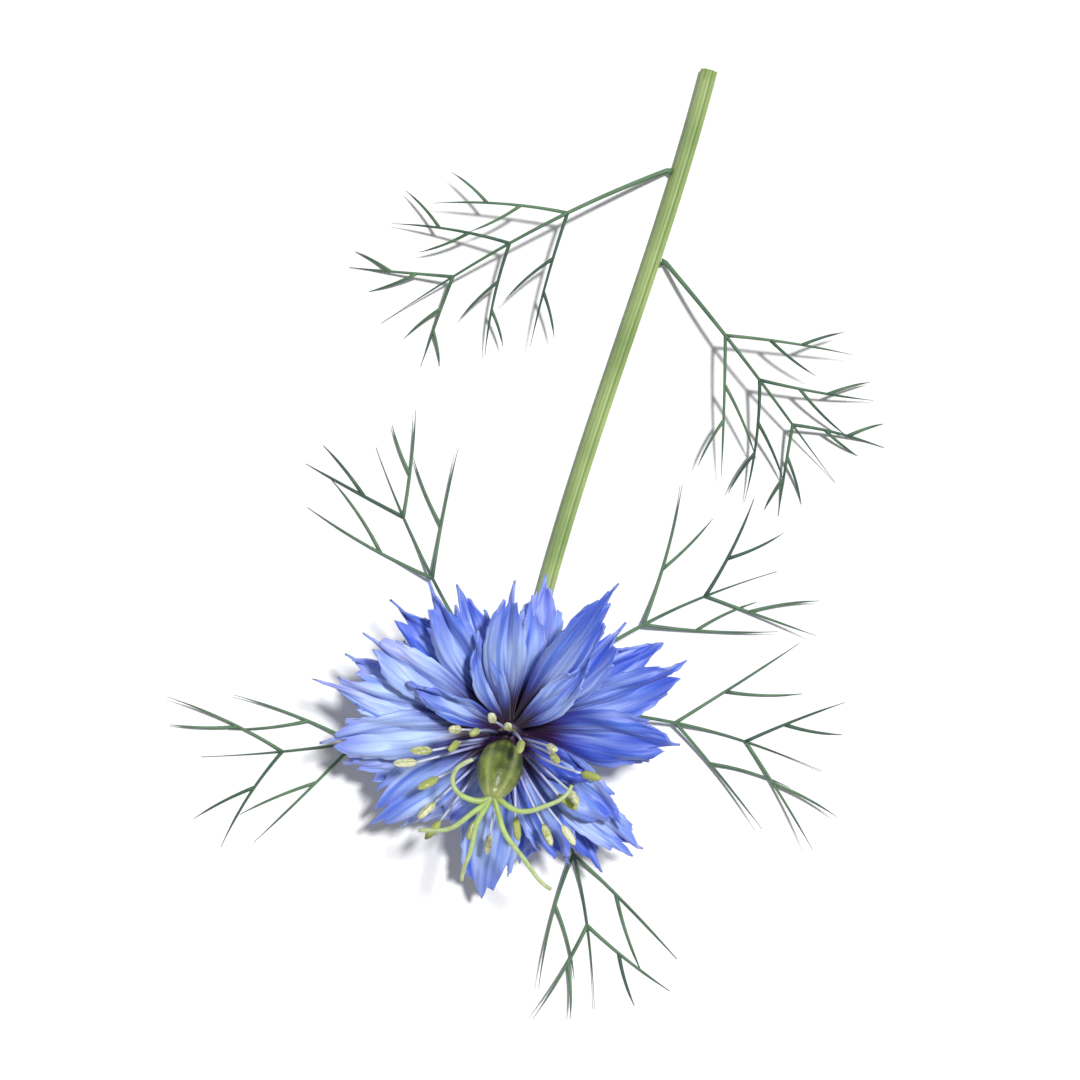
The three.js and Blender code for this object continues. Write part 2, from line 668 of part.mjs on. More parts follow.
const finish = (color, roughness) => new THREE.MeshStandardMaterial({ color, roughness, metalness: 0 });
const STEM_GREEN = finish(0x6f8f4a, 0.6);
const LEAF_GREEN = finish(0x5b7f5c, 0.65);
const SEPAL_BLUE = finish(0x7088e6, 0.7);
const ANTHER_CREAM = finish(0xd9dcae, 0.7);
const PISTIL_GREEN = finish(0x7c8f3c, 0.5);

function piece(name, made, material) {
  const { numProp, vertProperties, triVerts } = made.getMesh();
  const geometry = new THREE.BufferGeometry();
  const position = new Float32Array((vertProperties.length / numProp) * 3);
  for (let i = 0; i < position.length / 3; i++) {
    position.set(vertProperties.subarray(i * numProp, i * numProp + 3), i * 3);
  }
  geometry.setAttribute("position", new THREE.BufferAttribute(position, 3));
  geometry.setIndex(new THREE.BufferAttribute(triVerts, 1));
  geometry.computeVertexNormals();
  const mesh = new THREE.Mesh(geometry, material);
  mesh.name = name;
  return mesh;
}

const flower = new THREE.Group();
flower.name = "love_in_a_mist";
flower.add(piece("stem", stemSolid(), STEM_GREEN));
flower.add(piece("sepals", sepalsSolid(), SEPAL_BLUE));
flower.add(piece("stamens", stamensSolid(), ANTHER_CREAM));
flower.add(piece("pistil", pistilSolid(), PISTIL_GREEN));
BRACTS.forEach((bract, i) => flower.add(piece(`bract_${i + 1}`, bractSolid(bract), LEAF_GREEN)));
LEAVES.forEach((leaf, i) => flower.add(piece(`leaf_${i + 1}`, leafSolid(leaf), LEAF_GREEN)));

export default flower;
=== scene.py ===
"""Love-in-a-mist, one cut double flower lying on a pale surface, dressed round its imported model.

The stem lies along +Y, the bloom is at its front end and looks up. Sizes are in millimetres and
angles in degrees, and each mesh is written in metres.
"""

import logging
import math
from abc import ABC, abstractmethod
from dataclasses import dataclass, field, replace
from enum import Enum
from functools import cache
from typing import Callable, Mapping, Sequence

import bmesh
import bpy
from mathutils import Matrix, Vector


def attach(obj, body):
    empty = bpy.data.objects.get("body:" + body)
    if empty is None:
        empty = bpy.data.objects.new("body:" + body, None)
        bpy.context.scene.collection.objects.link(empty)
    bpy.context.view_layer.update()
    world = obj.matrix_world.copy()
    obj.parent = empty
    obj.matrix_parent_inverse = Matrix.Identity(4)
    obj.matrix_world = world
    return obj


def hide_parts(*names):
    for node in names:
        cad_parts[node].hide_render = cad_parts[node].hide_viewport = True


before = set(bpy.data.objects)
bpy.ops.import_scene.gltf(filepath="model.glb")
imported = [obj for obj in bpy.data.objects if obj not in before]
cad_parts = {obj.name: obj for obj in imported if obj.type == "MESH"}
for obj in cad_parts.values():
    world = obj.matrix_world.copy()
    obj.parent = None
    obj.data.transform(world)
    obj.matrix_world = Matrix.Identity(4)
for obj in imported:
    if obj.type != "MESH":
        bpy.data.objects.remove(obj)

LOG = logging.getLogger("love_in_a_mist")
MM = 0.001
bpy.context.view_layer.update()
UP = Vector((0, 0, 1))
# Points of a path that are nearer than this, in millimetres, count as one
SAME_POINT = 1e-9

Pair = tuple[float, float]
Colour = tuple[float, ...]
Shape = Callable[[float, float], Vector]


# ---- Numbers and directions ----


def lerp(a: float, b: float, t: float) -> float:
    """Return the value at share t of the way from a to b."""
    return a + (b - a) * t


def smooth(t: float) -> float:
    """Return t eased at both ends."""
    t = min(max(t, 0.0), 1.0)
    return t * t * (3 - 2 * t)


def shares(steps: int) -> list[float]:
    """Return the shares from 0 to 1 that so many even steps pass."""
    return [i / steps for i in range(steps + 1)]


class Draws:
    """Repeatable draws from -1 to 1, by the Lehmer sequence."""

    SPREAD, FACTOR, MODULUS, SKIPPED = 7919, 16807, 2147483647, 3

    def __init__(self, seed: int) -> None:
        """Start the sequence.

        Args:
            seed: Number that settles every later draw.
        """
        self.state = seed * self.SPREAD + 1
        for _ in range(self.SKIPPED):
            self()

    def __call__(self) -> float:
        """Return the next draw."""
        self.state = self.state * self.FACTOR % self.MODULUS
        return 2 * self.state / self.MODULUS - 1


@dataclass(frozen=True)
class Head:
    """Directions of a head that leans forward from straight up."""

    lean: float = 0.0

    @property
    def back(self) -> Vector:
        """Direction towards the back of the head."""
        lean = math.radians(self.lean)
        return Vector((0, math.cos(lean), math.sin(lean)))

    @property
    def up(self) -> Vector:
        """Direction out of the head's face."""
        lean = math.radians(self.lean)
        return Vector((0, -math.sin(lean), math.cos(lean)))

    def outward(self, azimuth: float) -> Vector:
        """Return the direction round the head at an azimuth in radians, from side to back."""
        return Vector((math.cos(azimuth), 0, 0)) + self.back * math.sin(azimuth)

    def axes(self, azimuth: float) -> tuple[Vector, Vector]:
        """Return the outward direction at an azimuth, and the one a quarter turn on."""
        return self.outward(azimuth), self.outward(azimuth + math.pi / 2)


@dataclass(frozen=True)
class Bow:
    """An arc in a plane, that starts at one slope and ends at another, in radians."""

    length: float
    start: float
    end: float

    def at(self, s: float) -> tuple[float, float, float]:
        """Follow the arc.

        Args:
            s: Share of its length.

        Returns:
            How far out and up that is, and the slope there.
        """
        now = lerp(self.start, self.end, s)
        bend = self.end - self.start
        out = self.length * (math.sin(now) - math.sin(self.start)) / bend
        rise = self.length * (math.cos(self.start) - math.cos(now)) / bend
        return out, rise, now


# ---- Meshes ----


@dataclass
class Station:
    """One ring of a tube: its middle and its radius."""

    at: Vector
    radius: float


def carried(path: Sequence[Vector], first_up: Vector) -> list[tuple[Vector, Vector]]:
    """Carry a cross direction along a path without twisting it.

    Args:
        path: Points of the path. Equal neighbours are allowed.
        first_up: Rough cross direction at the first point.

    Returns:
        The up and side directions at each point.
    """
    first = next(b - a for a, b in zip(path, path[1:]) if (b - a).length > SAME_POINT)
    along = first.normalized()
    up = first_up.copy()
    axes = []
    for i in range(len(path)):
        step = path[min(i + 1, len(path) - 1)] - path[max(i - 1, 0)]
        if step.length > SAME_POINT:
            along = step.normalized()
        up = (up - along * up.dot(along)).normalized()
        axes.append((up, along.cross(up)))
    return axes


def linked(name: str, data: bpy.types.ID) -> bpy.types.Object:
    """Make an object and link it to the scene.

    Args:
        name: Name of the object.
        data: Its mesh, light or camera.

    Returns:
        The object.
    """
    made = bpy.data.objects.new(name, data)
    bpy.context.scene.collection.objects.link(made)
    return made


class Skin:
    """Gathers the skins of one piece, with a map of how each grew and a tone for each organ."""

    def __init__(self) -> None:
        """Start with no skin."""
        self.mesh = bmesh.new()
        self.grown = self.mesh.loops.layers.uv.new("Grown")
        self.tone = self.mesh.verts.layers.float.new("tone")

    def sheet(
        self,
        across: int,
        along: int,
        place: Shape,
        tone: float = 0.0,
        finish: int = 0,
        rolled: bool = False,
    ) -> None:
        """Lay a grid of faces on a shape.

        Args:
            across: Faces across.
            along: Faces along.
            place: Gives the point, in millimetres, at shares u across and v along.
            tone: Value of the tone layer all over the sheet.
            finish: Slot of the material.
            rolled: Whether the sides meet and the ends close to a point.
        """
        made = bmesh.ops.create_grid(self.mesh, x_segments=across, y_segments=along, size=1.0)
        spots = {v: ((v.co.x + 1) / 2, (v.co.y + 1) / 2) for v in made["verts"]}
        for face in {f for v in spots for f in v.link_faces}:
            face.smooth = True
            face.material_index = finish
            for loop in face.loops:
                loop[self.grown].uv = spots[loop.vert]
        for vert, (u, v) in spots.items():
            vert.co = place(u, v) * MM
            vert[self.tone] = tone
        if rolled:
            bmesh.ops.remove_doubles(self.mesh, verts=list(spots), dist=1e-7)

    def tube(
        self,
        stations: Sequence[Station],
        sides: int,
        first_up: Vector,
        tone: float = 0.0,
        finish: int = 0,
        section: Callable[[float], float] = lambda turn: 1.0,
        floor: float = -math.inf,
    ) -> None:
        """Roll a closed tube along its stations.

        Args:
            stations: Rings from the tube's foot to its tip.
            sides: Faces round the tube.
            first_up: Rough cross direction at the foot.
            tone: Value of the tone layer all over the tube.
            finish: Slot of the material.
            section: Gives the radius, as a share, at an angle round.
            floor: Height that no point passes below, in millimetres.
        """
        rings = [replace(stations[0], radius=0.0), *stations, replace(stations[-1], radius=0.0)]
        axes = carried([ring.at for ring in rings], first_up)
        spans = len(rings) - 1

        def place(u: float, v: float) -> Vector:
            """Find a point of the tube.

            Args:
                u: Share round.
                v: Share along.

            Returns:
                The point, in millimetres.
            """
            i = round(v * spans)
            turn = 2 * math.pi * round(u * sides) / sides
            up, side = axes[i]
            reach = rings[i].radius * section(turn)
            point = rings[i].at + (up * math.cos(turn) + side * math.sin(turn)) * reach
            point.z = max(point.z, floor)
            return point

        self.sheet(sides, spans, place, tone, finish, rolled=True)

    def piece(self, name: str, *finishes: bpy.types.Material) -> bpy.types.Object:
        """Make the gathered skins one object.

        Args:
            name: Name of the object.
            finishes: Materials, in the order of their slots.

        Returns:
            The object, linked to the scene at the origin.
        """
        data = bpy.data.meshes.new(name)
        self.mesh.to_mesh(data)
        self.mesh.free()
        for finish in finishes:
            data.materials.append(finish)
        return linked(name, data)


def settle(piece: bpy.types.Object, slot: str, *nodes: str) -> None:
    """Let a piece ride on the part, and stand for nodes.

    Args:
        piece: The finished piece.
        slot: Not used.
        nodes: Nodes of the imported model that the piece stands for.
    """
    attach(piece, "root")
    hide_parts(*nodes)
    LOG.info("%s: %d faces, for %s", piece.name, len(piece.data.polygons), ", ".join(nodes))


# ---- Shader maths ----


@dataclass
class Wire:
    """A node's output that takes part in shader maths."""

    recipe: "Recipe"
    socket: bpy.types.NodeSocket | None

    def __add__(self, other: "Wire | float") -> "Wire":
        """Return self + other."""
        return self.recipe.maths("ADD", self, other)

    __radd__ = __add__

    def __sub__(self, other: "Wire | float") -> "Wire":
        """Return self - other."""
        return self.recipe.maths("SUBTRACT", self, other)

    def __rsub__(self, other: float) -> "Wire":
        """Return other - self."""
        return self.recipe.maths("SUBTRACT", other, self)

    def __mul__(self, other: "Wire | float") -> "Wire":
        """Return self * other."""
        return self.recipe.maths("MULTIPLY", self, other)

    __rmul__ = __mul__

    def __truediv__(self, other: "Wire | float") -> "Wire":
        """Return self / other."""
        return self.recipe.maths("DIVIDE", self, other)

    def __rtruediv__(self, other: float) -> "Wire":
        """Return other / self."""
        return self.recipe.maths("DIVIDE", other, self)

    def __abs__(self) -> "Wire":
        """Return self without its sign."""
        return self.recipe.maths("ABSOLUTE", self)


Value = Wire | float | Colour


def linear(channel: int) -> float:
    """Return the light, from 0 to 1, that a screen colour's channel from 0 to 255 stands for."""
    x = channel / 255
    return x / 12.92 if x <= 0.04045 else ((x + 0.055) / 1.055) ** 2.4


def tint(red: int, green: int, blue: int) -> Colour:
    """Return a screen colour, 0 to 255 a channel, as the linear colour that shaders take."""
    return (linear(red), linear(green), linear(blue), 1.0)


def glow(weight: float, spread: Colour, depth: float) -> dict[str, Value]:
    """Return the inputs that let light into the flesh, to a depth in millimetres."""
    return dict(Subsurface_Weight=weight, Subsurface_Radius=spread, Subsurface_Scale=depth * MM)


class Recipe:
    """One material under construction."""

    # A Mix node has sockets of every kind, and these are the numbers of those for colours
    MIX_FIRST, MIX_SECOND, MIX_RESULT = 6, 7, 2

    def __init__(self, name: str) -> None:
        """Start a material with an empty tree.

        Args:
            name: Name of the material.
        """
        self.material = bpy.data.materials.new(name)
        self.material.use_nodes = True
        self.tree = self.material.node_tree
        self.tree.nodes.clear()

    def node(
        self,
        kind: str,
        settings: Mapping[str, object],
        inputs: Mapping[str | int, Value],
        outlet: str | int = 0,
    ) -> Wire:
        """Add a node.

        Args:
            kind: Type of the node.
            settings: Properties that are set first. "stops" holds a ramp's stops.
            inputs: Values or wires for its sockets, by name or number.
            outlet: Name or number of the output that is returned.

        Returns:
            The wire that leaves the outlet. It is loose where the node has none.
        """
        made = self.tree.nodes.new(kind)
        for key, value in settings.items():
            if key == "stops":
                self.set_stops(made.color_ramp, value)
            else:
                setattr(made, key, value)
        for key, value in inputs.items():
            if isinstance(value, Wire):
                self.tree.links.new(value.socket, made.inputs[key])
            else:
                made.inputs[key].default_value = value
        return Wire(self, made.outputs[outlet] if len(made.outputs) else None)

    def set_stops(self, ramp: bpy.types.ColorRamp, stops: Sequence[tuple[float, Colour]]) -> None:
        """Give a colour ramp its stops.

        Args:
            ramp: The ramp.
            stops: A place and a colour each, in order.
        """
        while len(ramp.elements) > 1:
            ramp.elements.remove(ramp.elements[-1])
        ramp.elements[0].position, ramp.elements[0].color = stops[0]
        for place, colour in stops[1:]:
            ramp.elements.new(place).color = colour

    def maths(self, operation: str, *values: Value) -> Wire:
        """Add a Math node and return its result."""
        return self.node("ShaderNodeMath", {"operation": operation}, dict(enumerate(values)))

    def step(self, value: Wire, low: float, high: float) -> Wire:
        """Return 0 below low, 1 above high and a smooth rise between them."""
        settings = {"interpolation_type": "SMOOTHSTEP"}
        return self.node("ShaderNodeMapRange", settings, {0: value, 1: low, 2: high})

    def ridges(self, value: Wire) -> Wire:
        """Return 1 at whole values and 0 midway, with straight slopes between."""
        return abs(self.maths("FRACT", value) - 0.5) * 2.0

    def ramp(self, value: Wire, *stops: tuple[float, Colour]) -> Wire:
        """Return the colour of a ramp at a value."""
        return self.node("ShaderNodeValToRGB", {"stops": stops}, {0: value})

    def mix(self, share: Value, first: Value, second: Value) -> Wire:
        """Return a colour between first and second at a share."""
        inputs = {"Factor": share, self.MIX_FIRST: first, self.MIX_SECOND: second}
        return self.node("ShaderNodeMix", {"data_type": "RGBA"}, inputs, self.MIX_RESULT)

    def noise(self, where: Wire, scale: float, detail: float = 2.0) -> Wire:
        """Return noise of a scale at a place."""
        inputs = {"Vector": where, "Scale": scale, "Detail": detail}
        return self.node("ShaderNodeTexNoise", {}, inputs)

    def grain(self, scale: float, detail: float = 2.0) -> Wire:
        """Return noise of a scale in the object's own space."""
        return self.noise(self.object_place(), scale, detail)

    def grown(self) -> tuple[Wire, Wire]:
        """Read the piece's own map.

        Returns:
            The shares across and along.
        """
        place = self.node("ShaderNodeUVMap", {"uv_map": "Grown"}, {})
        u = self.node("ShaderNodeSeparateXYZ", {}, {0: place})
        return u, Wire(self, u.socket.node.outputs[1])

    def tone(self) -> Wire:
        """Return the tone of the organ."""
        return self.node("ShaderNodeAttribute", {"attribute_name": "tone"}, {}, "Fac")

    def place(self, x: Value, y: Value, z: Value = 0.0) -> Wire:
        """Return a vector of three values."""
        return self.node("ShaderNodeCombineXYZ", {}, {0: x, 1: y, 2: z})

    def object_place(self) -> Wire:
        """Return the object coordinates."""
        return self.node("ShaderNodeTexCoord", {}, {}, "Object")

    def bump(self, height: Wire, strength: float, distance: float) -> Wire:
        """Return the normal that a height gives, its distance in millimetres."""
        inputs = {"Height": height, "Strength": strength, "Distance": distance * MM}
        return self.node("ShaderNodeBump", {}, inputs)

    def surface(self, **inputs: Value) -> bpy.types.Material:
        """Close the recipe with a Principled shader.

        Args:
            inputs: Its sockets, with _ for a space.

        Returns:
            The finished material.
        """
        sockets = {name.replace("_", " "): value for name, value in inputs.items()}
        shader = self.node("ShaderNodeBsdfPrincipled", {}, sockets)
        self.node("ShaderNodeOutputMaterial", {}, {"Surface": shader})
        return self.material


# ---- Finishes ----


@dataclass(frozen=True)
class SepalFinish:
    """Sky blue with darker veins, a violet margin and a dark purple claw, with painted highlights
    and painted shade.
    """

    claw: Colour = tint(40, 6, 52)
    throat: Colour = tint(60, 34, 134)
    # pale and lavender make the painted highlights and the fine streaks; pale also the edge
    pale: Colour = tint(186, 209, 254)
    lavender: Colour = tint(182, 190, 248)
    sky: Colour = tint(104, 150, 242)
    deep: Colour = tint(58, 90, 202)
    violet: Colour = tint(100, 100, 222)
    # vein is also the painted shade at the foot, on the flanks and on low-tone sepals
    vein: Colour = tint(44, 62, 168)
    veins: float = 9.0
    streaks: float = 26.0
    grain: float = 900.0
    shift: float = 37.0

    def build(self) -> bpy.types.Material:
        """Lay the colours over each other, from the blade's own to the claw's.

        Returns:
            The material.
        """
        r = Recipe("sepal_blue")
        u, v = r.grown()
        tone = r.tone()
        shift = tone * self.shift
        wander = r.noise(r.place(u * 3.0, v * 2.2, shift), 1.0, 3.0) - 0.5
        across = u + wander * 0.08
        aside = r.ridges(u)
        cloud = r.noise(r.place(u * 2.4, v * 1.3, shift + 5.0), 1.5, 3.0)
        fine = r.noise(r.place(across * self.streaks, v * 2.4, shift), 1.0, 3.0)
        broad = r.noise(r.place(across * 7.0, v * 1.1, shift + 9.0), 1.0)
        # Clouds of sky and deep blue; painted highlights in broad pale streaks, widest half way
        # along
        base = r.mix(r.step(cloud + tone * 0.24, 0.3, 0.7), self.deep, self.sky)
        belly = r.step(v, 0.25, 0.5) * (1.0 - r.step(v, 0.55, 0.95))
        pale = r.step(broad + tone * 0.26 + belly * 0.1, 0.36, 0.7)
        light = r.mix(r.step(cloud + v * 0.4, 0.66, 1.0), self.pale, self.lavender)
        base = r.mix(pale * 0.85, base, light)
        base = r.mix(r.step(fine, 0.42, 0.7) * 0.2, base, light)
        # Wandering veins, fainter towards the end
        ridge = r.ridges(across * self.veins + 0.5)
        vein = (1.0 - r.step(ridge, 0.0, 0.24)) * (1.0 - r.step(v, 0.5, 1.0) * 0.7)
        vein = vein * (r.step(cloud + (fine - 0.5) * 0.3, 0.35, 0.62) * 0.7 + 0.3)
        base = r.mix(vein * 0.5, base, self.vein)
        # Painted shade near the foot, and a violet end
        painted_foot_shade = r.step(0.62 - broad, 0.0, 0.2) * (1.0 - r.step(v, 0.3, 0.72))
        base = r.mix(painted_foot_shade * 0.5, base, self.vein)
        rim = r.step(v + wander * 0.25, 0.76, 1.02)
        base = r.mix(rim * 0.22, base, self.violet)
        # Deeper blue towards the end and painted shade over the sepals of a low tone, mostly on the
        # shaded side
        base = r.mix(r.step(v - tone * 0.3, 0.55, 1.05) * 0.4, base, self.deep)
        base = r.mix(r.step(0.0 - tone, 0.3, 1.1) * 0.45, base, self.vein)
        # Painted shade between sepals, on their flanks near the foot, then the dark throat and claw
        painted_flank_shade = r.step(aside + wander * 0.3, 0.4, 0.9) * (1.0 - r.step(v, 0.34, 0.7))
        base = r.mix(painted_flank_shade * 0.7, base, self.vein)
        throat = 1.0 - r.step(v + wander * 0.24 + (fine - 0.5) * 0.2, 0.2, 0.54)
        base = r.mix(throat * 0.75, base, self.throat)
        claw = 1.0 - r.step(v + wander * 0.14 + (fine - 0.5) * 0.16, 0.22, 0.42)
        base = r.mix(claw, base, self.claw)
        # A thin pale edge round the outer half
        side = r.step(aside + wander * 0.1, 0.94, 1.0)
        crest = r.step(v + (fine - 0.5) * 0.04, 0.965, 1.0)
        edge = r.maths("MAXIMUM", side, crest) * r.step(v, 0.35, 0.6)
        base = r.mix(edge * 0.2, base, self.pale)
        height = fine * 0.5 + ridge * 0.35 + r.grain(self.grain) * 0.2
        return r.surface(
            Base_Color=base,
            Roughness=0.48 + (fine - 0.5) * 0.24,
            Normal=r.bump(height, 0.45, 0.13),
            Sheen_Weight=0.12,
            Sheen_Roughness=0.5,
            **glow(0.12, (0.6, 0.8, 1.4), 0.4),
        )


@dataclass(frozen=True)
class ReceptacleFinish:
    """The stem's end inside the bloom: green at the foot and dark purple above."""

    green: Colour = tint(118, 140, 74)
    flush: Colour = tint(84, 62, 84)
    purple: Colour = tint(44, 18, 52)
    mottle: float = 700.0

    @cache
    def build(self) -> bpy.types.Material:
        """Blend the green foot into the purple top.

        Returns:
            The material, which is made once.
        """
        r = Recipe("receptacle_green")
        _, v = r.grown()
        patch = r.grain(self.mottle, 3.0)
        stops = (0.0, self.green), (0.2, self.green), (0.44, self.flush), (0.7, self.purple)
        return r.surface(
            Base_Color=r.ramp(v + (patch - 0.5) * 0.24, *stops),
            Roughness=0.5 + (patch - 0.5) * 0.2,
            Normal=r.bump(patch, 0.3, 0.1),
        )


@dataclass(frozen=True)
class FilamentFinish:
    """Pale lilac threads, dark purple at the foot."""

    foot: Colour = tint(60, 30, 84)
    middle: Colour = tint(168, 174, 226)
    tip: Colour = tint(212, 218, 218)
    grain: float = 1400.0

    def build(self) -> bpy.types.Material:
        """Blend the purple foot into the pale tip.

        Returns:
            The material.
        """
        r = Recipe("filament_lilac")
        _, v = r.grown()
        grain = r.grain(self.grain)
        stops = (0.0, self.foot), (0.26, self.foot), (0.5, self.middle), (1.0, self.tip)
        return r.surface(
            Base_Color=r.ramp(v + (grain - 0.5) * 0.16, *stops),
            Roughness=0.5 + (grain - 0.5) * 0.2,
            **glow(0.2, (1.0, 1.0, 1.0), 0.3),
        )


@dataclass(frozen=True)
class AntherFinish:
    """Powdery cream to green-yellow anthers with a darker seam."""

    cream: Colour = tint(226, 226, 190)
    green: Colour = tint(168, 178, 96)
    seam: Colour = tint(128, 134, 84)
    dust: float = 2600.0

    def build(self) -> bpy.types.Material:
        """Dust the pouches and draw the seam.

        Returns:
            The material.
        """
        r = Recipe("anther_cream")
        u, _ = r.grown()
        dust = r.grain(self.dust, 3.0)
        base = r.mix(r.step(dust + r.tone() * 0.3, 0.35, 0.75), self.green, self.cream)
        seam = 1.0 - r.step(r.ridges(u * 2.0 + 0.25), 0.06, 0.24)
        return r.surface(
            Base_Color=r.mix(seam * 0.6, base, self.seam),
            Roughness=0.85 - dust * 0.15,
            Normal=r.bump(dust - seam * 0.6, 0.6, 0.08),
        )


@dataclass(frozen=True)
class OvaryFinish:
    """Olive green carpels, with painted highlights on their backs and painted shade in their seams.
    """

    carpels: int
    # dark mottles the carpels and is the painted shade in the seams; light is the painted highlight
    dark: Colour = tint(66, 78, 30)
    green: Colour = tint(126, 140, 62)
    light: Colour = tint(196, 204, 134)
    brown: Colour = tint(66, 44, 30)
    warts: float = 2300.0
    mottle: float = 420.0

    def build(self) -> bpy.types.Material:
        """Mottle the carpels, paint shade into the seams, darken the foot, and paint highlights on
        the backs and the top.

        Returns:
            The material.
        """
        r = Recipe("ovary_green")
        u, v = r.grown()
        where = {"Vector": r.object_place(), "Scale": self.warts}
        warts = r.node("ShaderNodeTexVoronoi", {}, where)
        patch = r.grain(self.mottle, 3.0)
        lobe = r.ridges(u * float(self.carpels) + 0.5)
        seam = 1.0 - r.step(lobe, 0.0, 0.3)
        base = r.mix(r.step(patch, 0.3, 0.7), self.dark, self.green)
        # Painted highlights on the carpels' backs, and painted shade in the seams
        base = r.mix(r.step(lobe, 0.55, 1.0) * 0.32, base, self.light)
        base = r.mix(seam * 0.65, base, self.dark)
        base = r.mix((1.0 - r.step(v, 0.04, 0.2)) * 0.8, base, self.brown)
        # A painted highlight over the top
        return r.surface(
            Base_Color=r.mix(r.step(v, 0.74, 0.98) * 0.5, base, self.light),
            Roughness=0.42 + (patch - 0.5) * 0.2,
            Normal=r.bump(1.0 - warts, 0.5, 0.1),
            **glow(0.12, (0.6, 1.0, 0.3), 0.5),
        )


@dataclass(frozen=True)
class StyleFinish:
    """Light green styles, yellower towards the tip."""

    foot: Colour = tint(132, 150, 70)
    middle: Colour = tint(176, 202, 124)
    tip: Colour = tint(196, 208, 160)
    flecks: float = 1300.0

    def build(self) -> bpy.types.Material:
        """Blend the foot into the tip, and fleck and groove it.

        Returns:
            The material.
        """
        r = Recipe("style_green")
        u, v = r.grown()
        fleck = r.grain(self.flecks, 3.0)
        base = r.ramp(v, (0.0, self.foot), (0.25, self.middle), (1.0, self.tip))
        return r.surface(
            Base_Color=r.mix(r.step(fleck, 0.4, 0.75) * 0.45, base, self.foot),
            Roughness=0.45 + (fleck - 0.5) * 0.2,
            Normal=r.bump(r.ridges(u * 2.0) * 0.5 + fleck * 0.3, 0.4, 0.1),
            **glow(0.15, (0.7, 1.0, 0.4), 0.4),
        )


class GreenPart(Enum):
    """Which green part a foliage finish is for."""

    BRACT = "bract_green"
    LEAF = "leaf_green"


@dataclass(frozen=True)
class ThreadFinish:
    """Dull grey-green threads, lighter on the ridge and dusky at the tips."""

    part: GreenPart
    green: Colour = tint(52, 84, 66)
    light: Colour = tint(94, 126, 94)
    dusk: Colour = tint(32, 52, 50)
    mottle: float = 260.0
    grain: float = 2200.0

    @cache
    def build(self) -> bpy.types.Material:
        """Mottle the thread, with a light ridge and a dusky tip.

        Returns:
            The material, which is made once for each part.
        """
        r = Recipe(self.part.value)
        u, v = r.grown()
        patch = r.grain(self.mottle, 3.0)
        grain = r.grain(self.grain)
        ridge = r.ridges(u * 2.0)
        base = r.mix(r.step(patch + r.tone() * 0.2, 0.3, 0.72), self.green, self.light)
        base = r.mix(r.step(v + (patch - 0.5) * 0.4, 0.45, 1.0) * 0.7, base, self.dusk)
        return r.surface(
            Base_Color=r.mix(r.step(ridge, 0.7, 1.0) * 0.3, base, self.light),
            Roughness=0.58 + (grain - 0.5) * 0.25,
            Normal=r.bump(grain + ridge * 0.6, 0.4, 0.08),
        )


@dataclass(frozen=True)
class StemFinish:
    """Fresh green ribs with darker grooves and a faint purple flush."""

    ribs: int
    green: Colour = tint(118, 146, 78)
    light: Colour = tint(166, 186, 118)
    dark: Colour = tint(76, 100, 52)
    flush: Colour = tint(112, 84, 84)
    mottle: float = 90.0
    streaks: Pair = (60.0, 26.0)

    def build(self) -> bpy.types.Material:
        """Streak the ribs, darken the grooves and flush the top.

        Returns:
            The material.
        """
        r = Recipe("stem_green")
        u, v = r.grown()
        patch = r.grain(self.mottle, 3.0)
        streak = r.noise(r.place(u * self.streaks[0], v * self.streaks[1]), 1.0, 3.0)
        rib = r.ridges(u * float(self.ribs) + 0.5)
        base = r.mix(r.step(patch, 0.3, 0.7), self.green, self.light)
        base = r.mix(r.step(streak, 0.4, 0.7) * 0.35, base, self.light)
        base = r.mix(r.step(rib, 0.45, 1.0) * 0.55, base, self.dark)
        return r.surface(
            Base_Color=r.mix(r.step(patch + v * 0.35, 0.75, 0.95) * 0.35, base, self.flush),
            Roughness=0.45 + (streak - 0.5) * 0.3,
            Normal=r.bump(streak, 0.35, 0.1),
            **glow(0.08, (0.7, 1.0, 0.4), 0.6),
        )


@dataclass(frozen=True)
class PithFinish:
    """Pale moist pith of the cut end, inside a darker ring and the green skin."""

    core: Colour = tint(176, 188, 140)
    pith: Colour = tint(214, 220, 186)
    ring: Colour = tint(126, 150, 84)
    skin: Colour = tint(104, 132, 68)
    # Share along the stem's map at which the cut face ends
    rim: float = 0.0395
    cells: float = 3200.0

    def build(self) -> bpy.types.Material:
        """Ring the cut end from its core to its skin.

        Returns:
            The material.
        """
        r = Recipe("cut_pith")
        _, v = r.grown()
        cells = r.grain(self.cells)
        inner = (0.0, self.core), (0.16, self.pith), (0.3, self.pith), (0.42, self.ring)
        outer = (0.6, self.pith), (0.8, self.skin)
        return r.surface(
            Base_Color=r.ramp(v / self.rim + (cells - 0.5) * 0.2, *inner, *outer),
            Roughness=0.4 + (cells - 0.5) * 0.3,
            Normal=r.bump(cells, 0.4, 0.06),
        )


@dataclass(frozen=True)
class FloorFinish:
    """Plain white, a little rough."""

    white: Colour = tint(246, 246, 247)
    grain: float = 40.0

    def build(self) -> bpy.types.Material:
        """Keep the white plain, with a fine grain in its roughness.

        Returns:
            The material.
        """
        r = Recipe("pale_surface")
        rough = 0.8 + (r.grain(self.grain) - 0.5) * 0.05
        return r.surface(Base_Color=self.white, Roughness=rough)


# ---- Stem ----


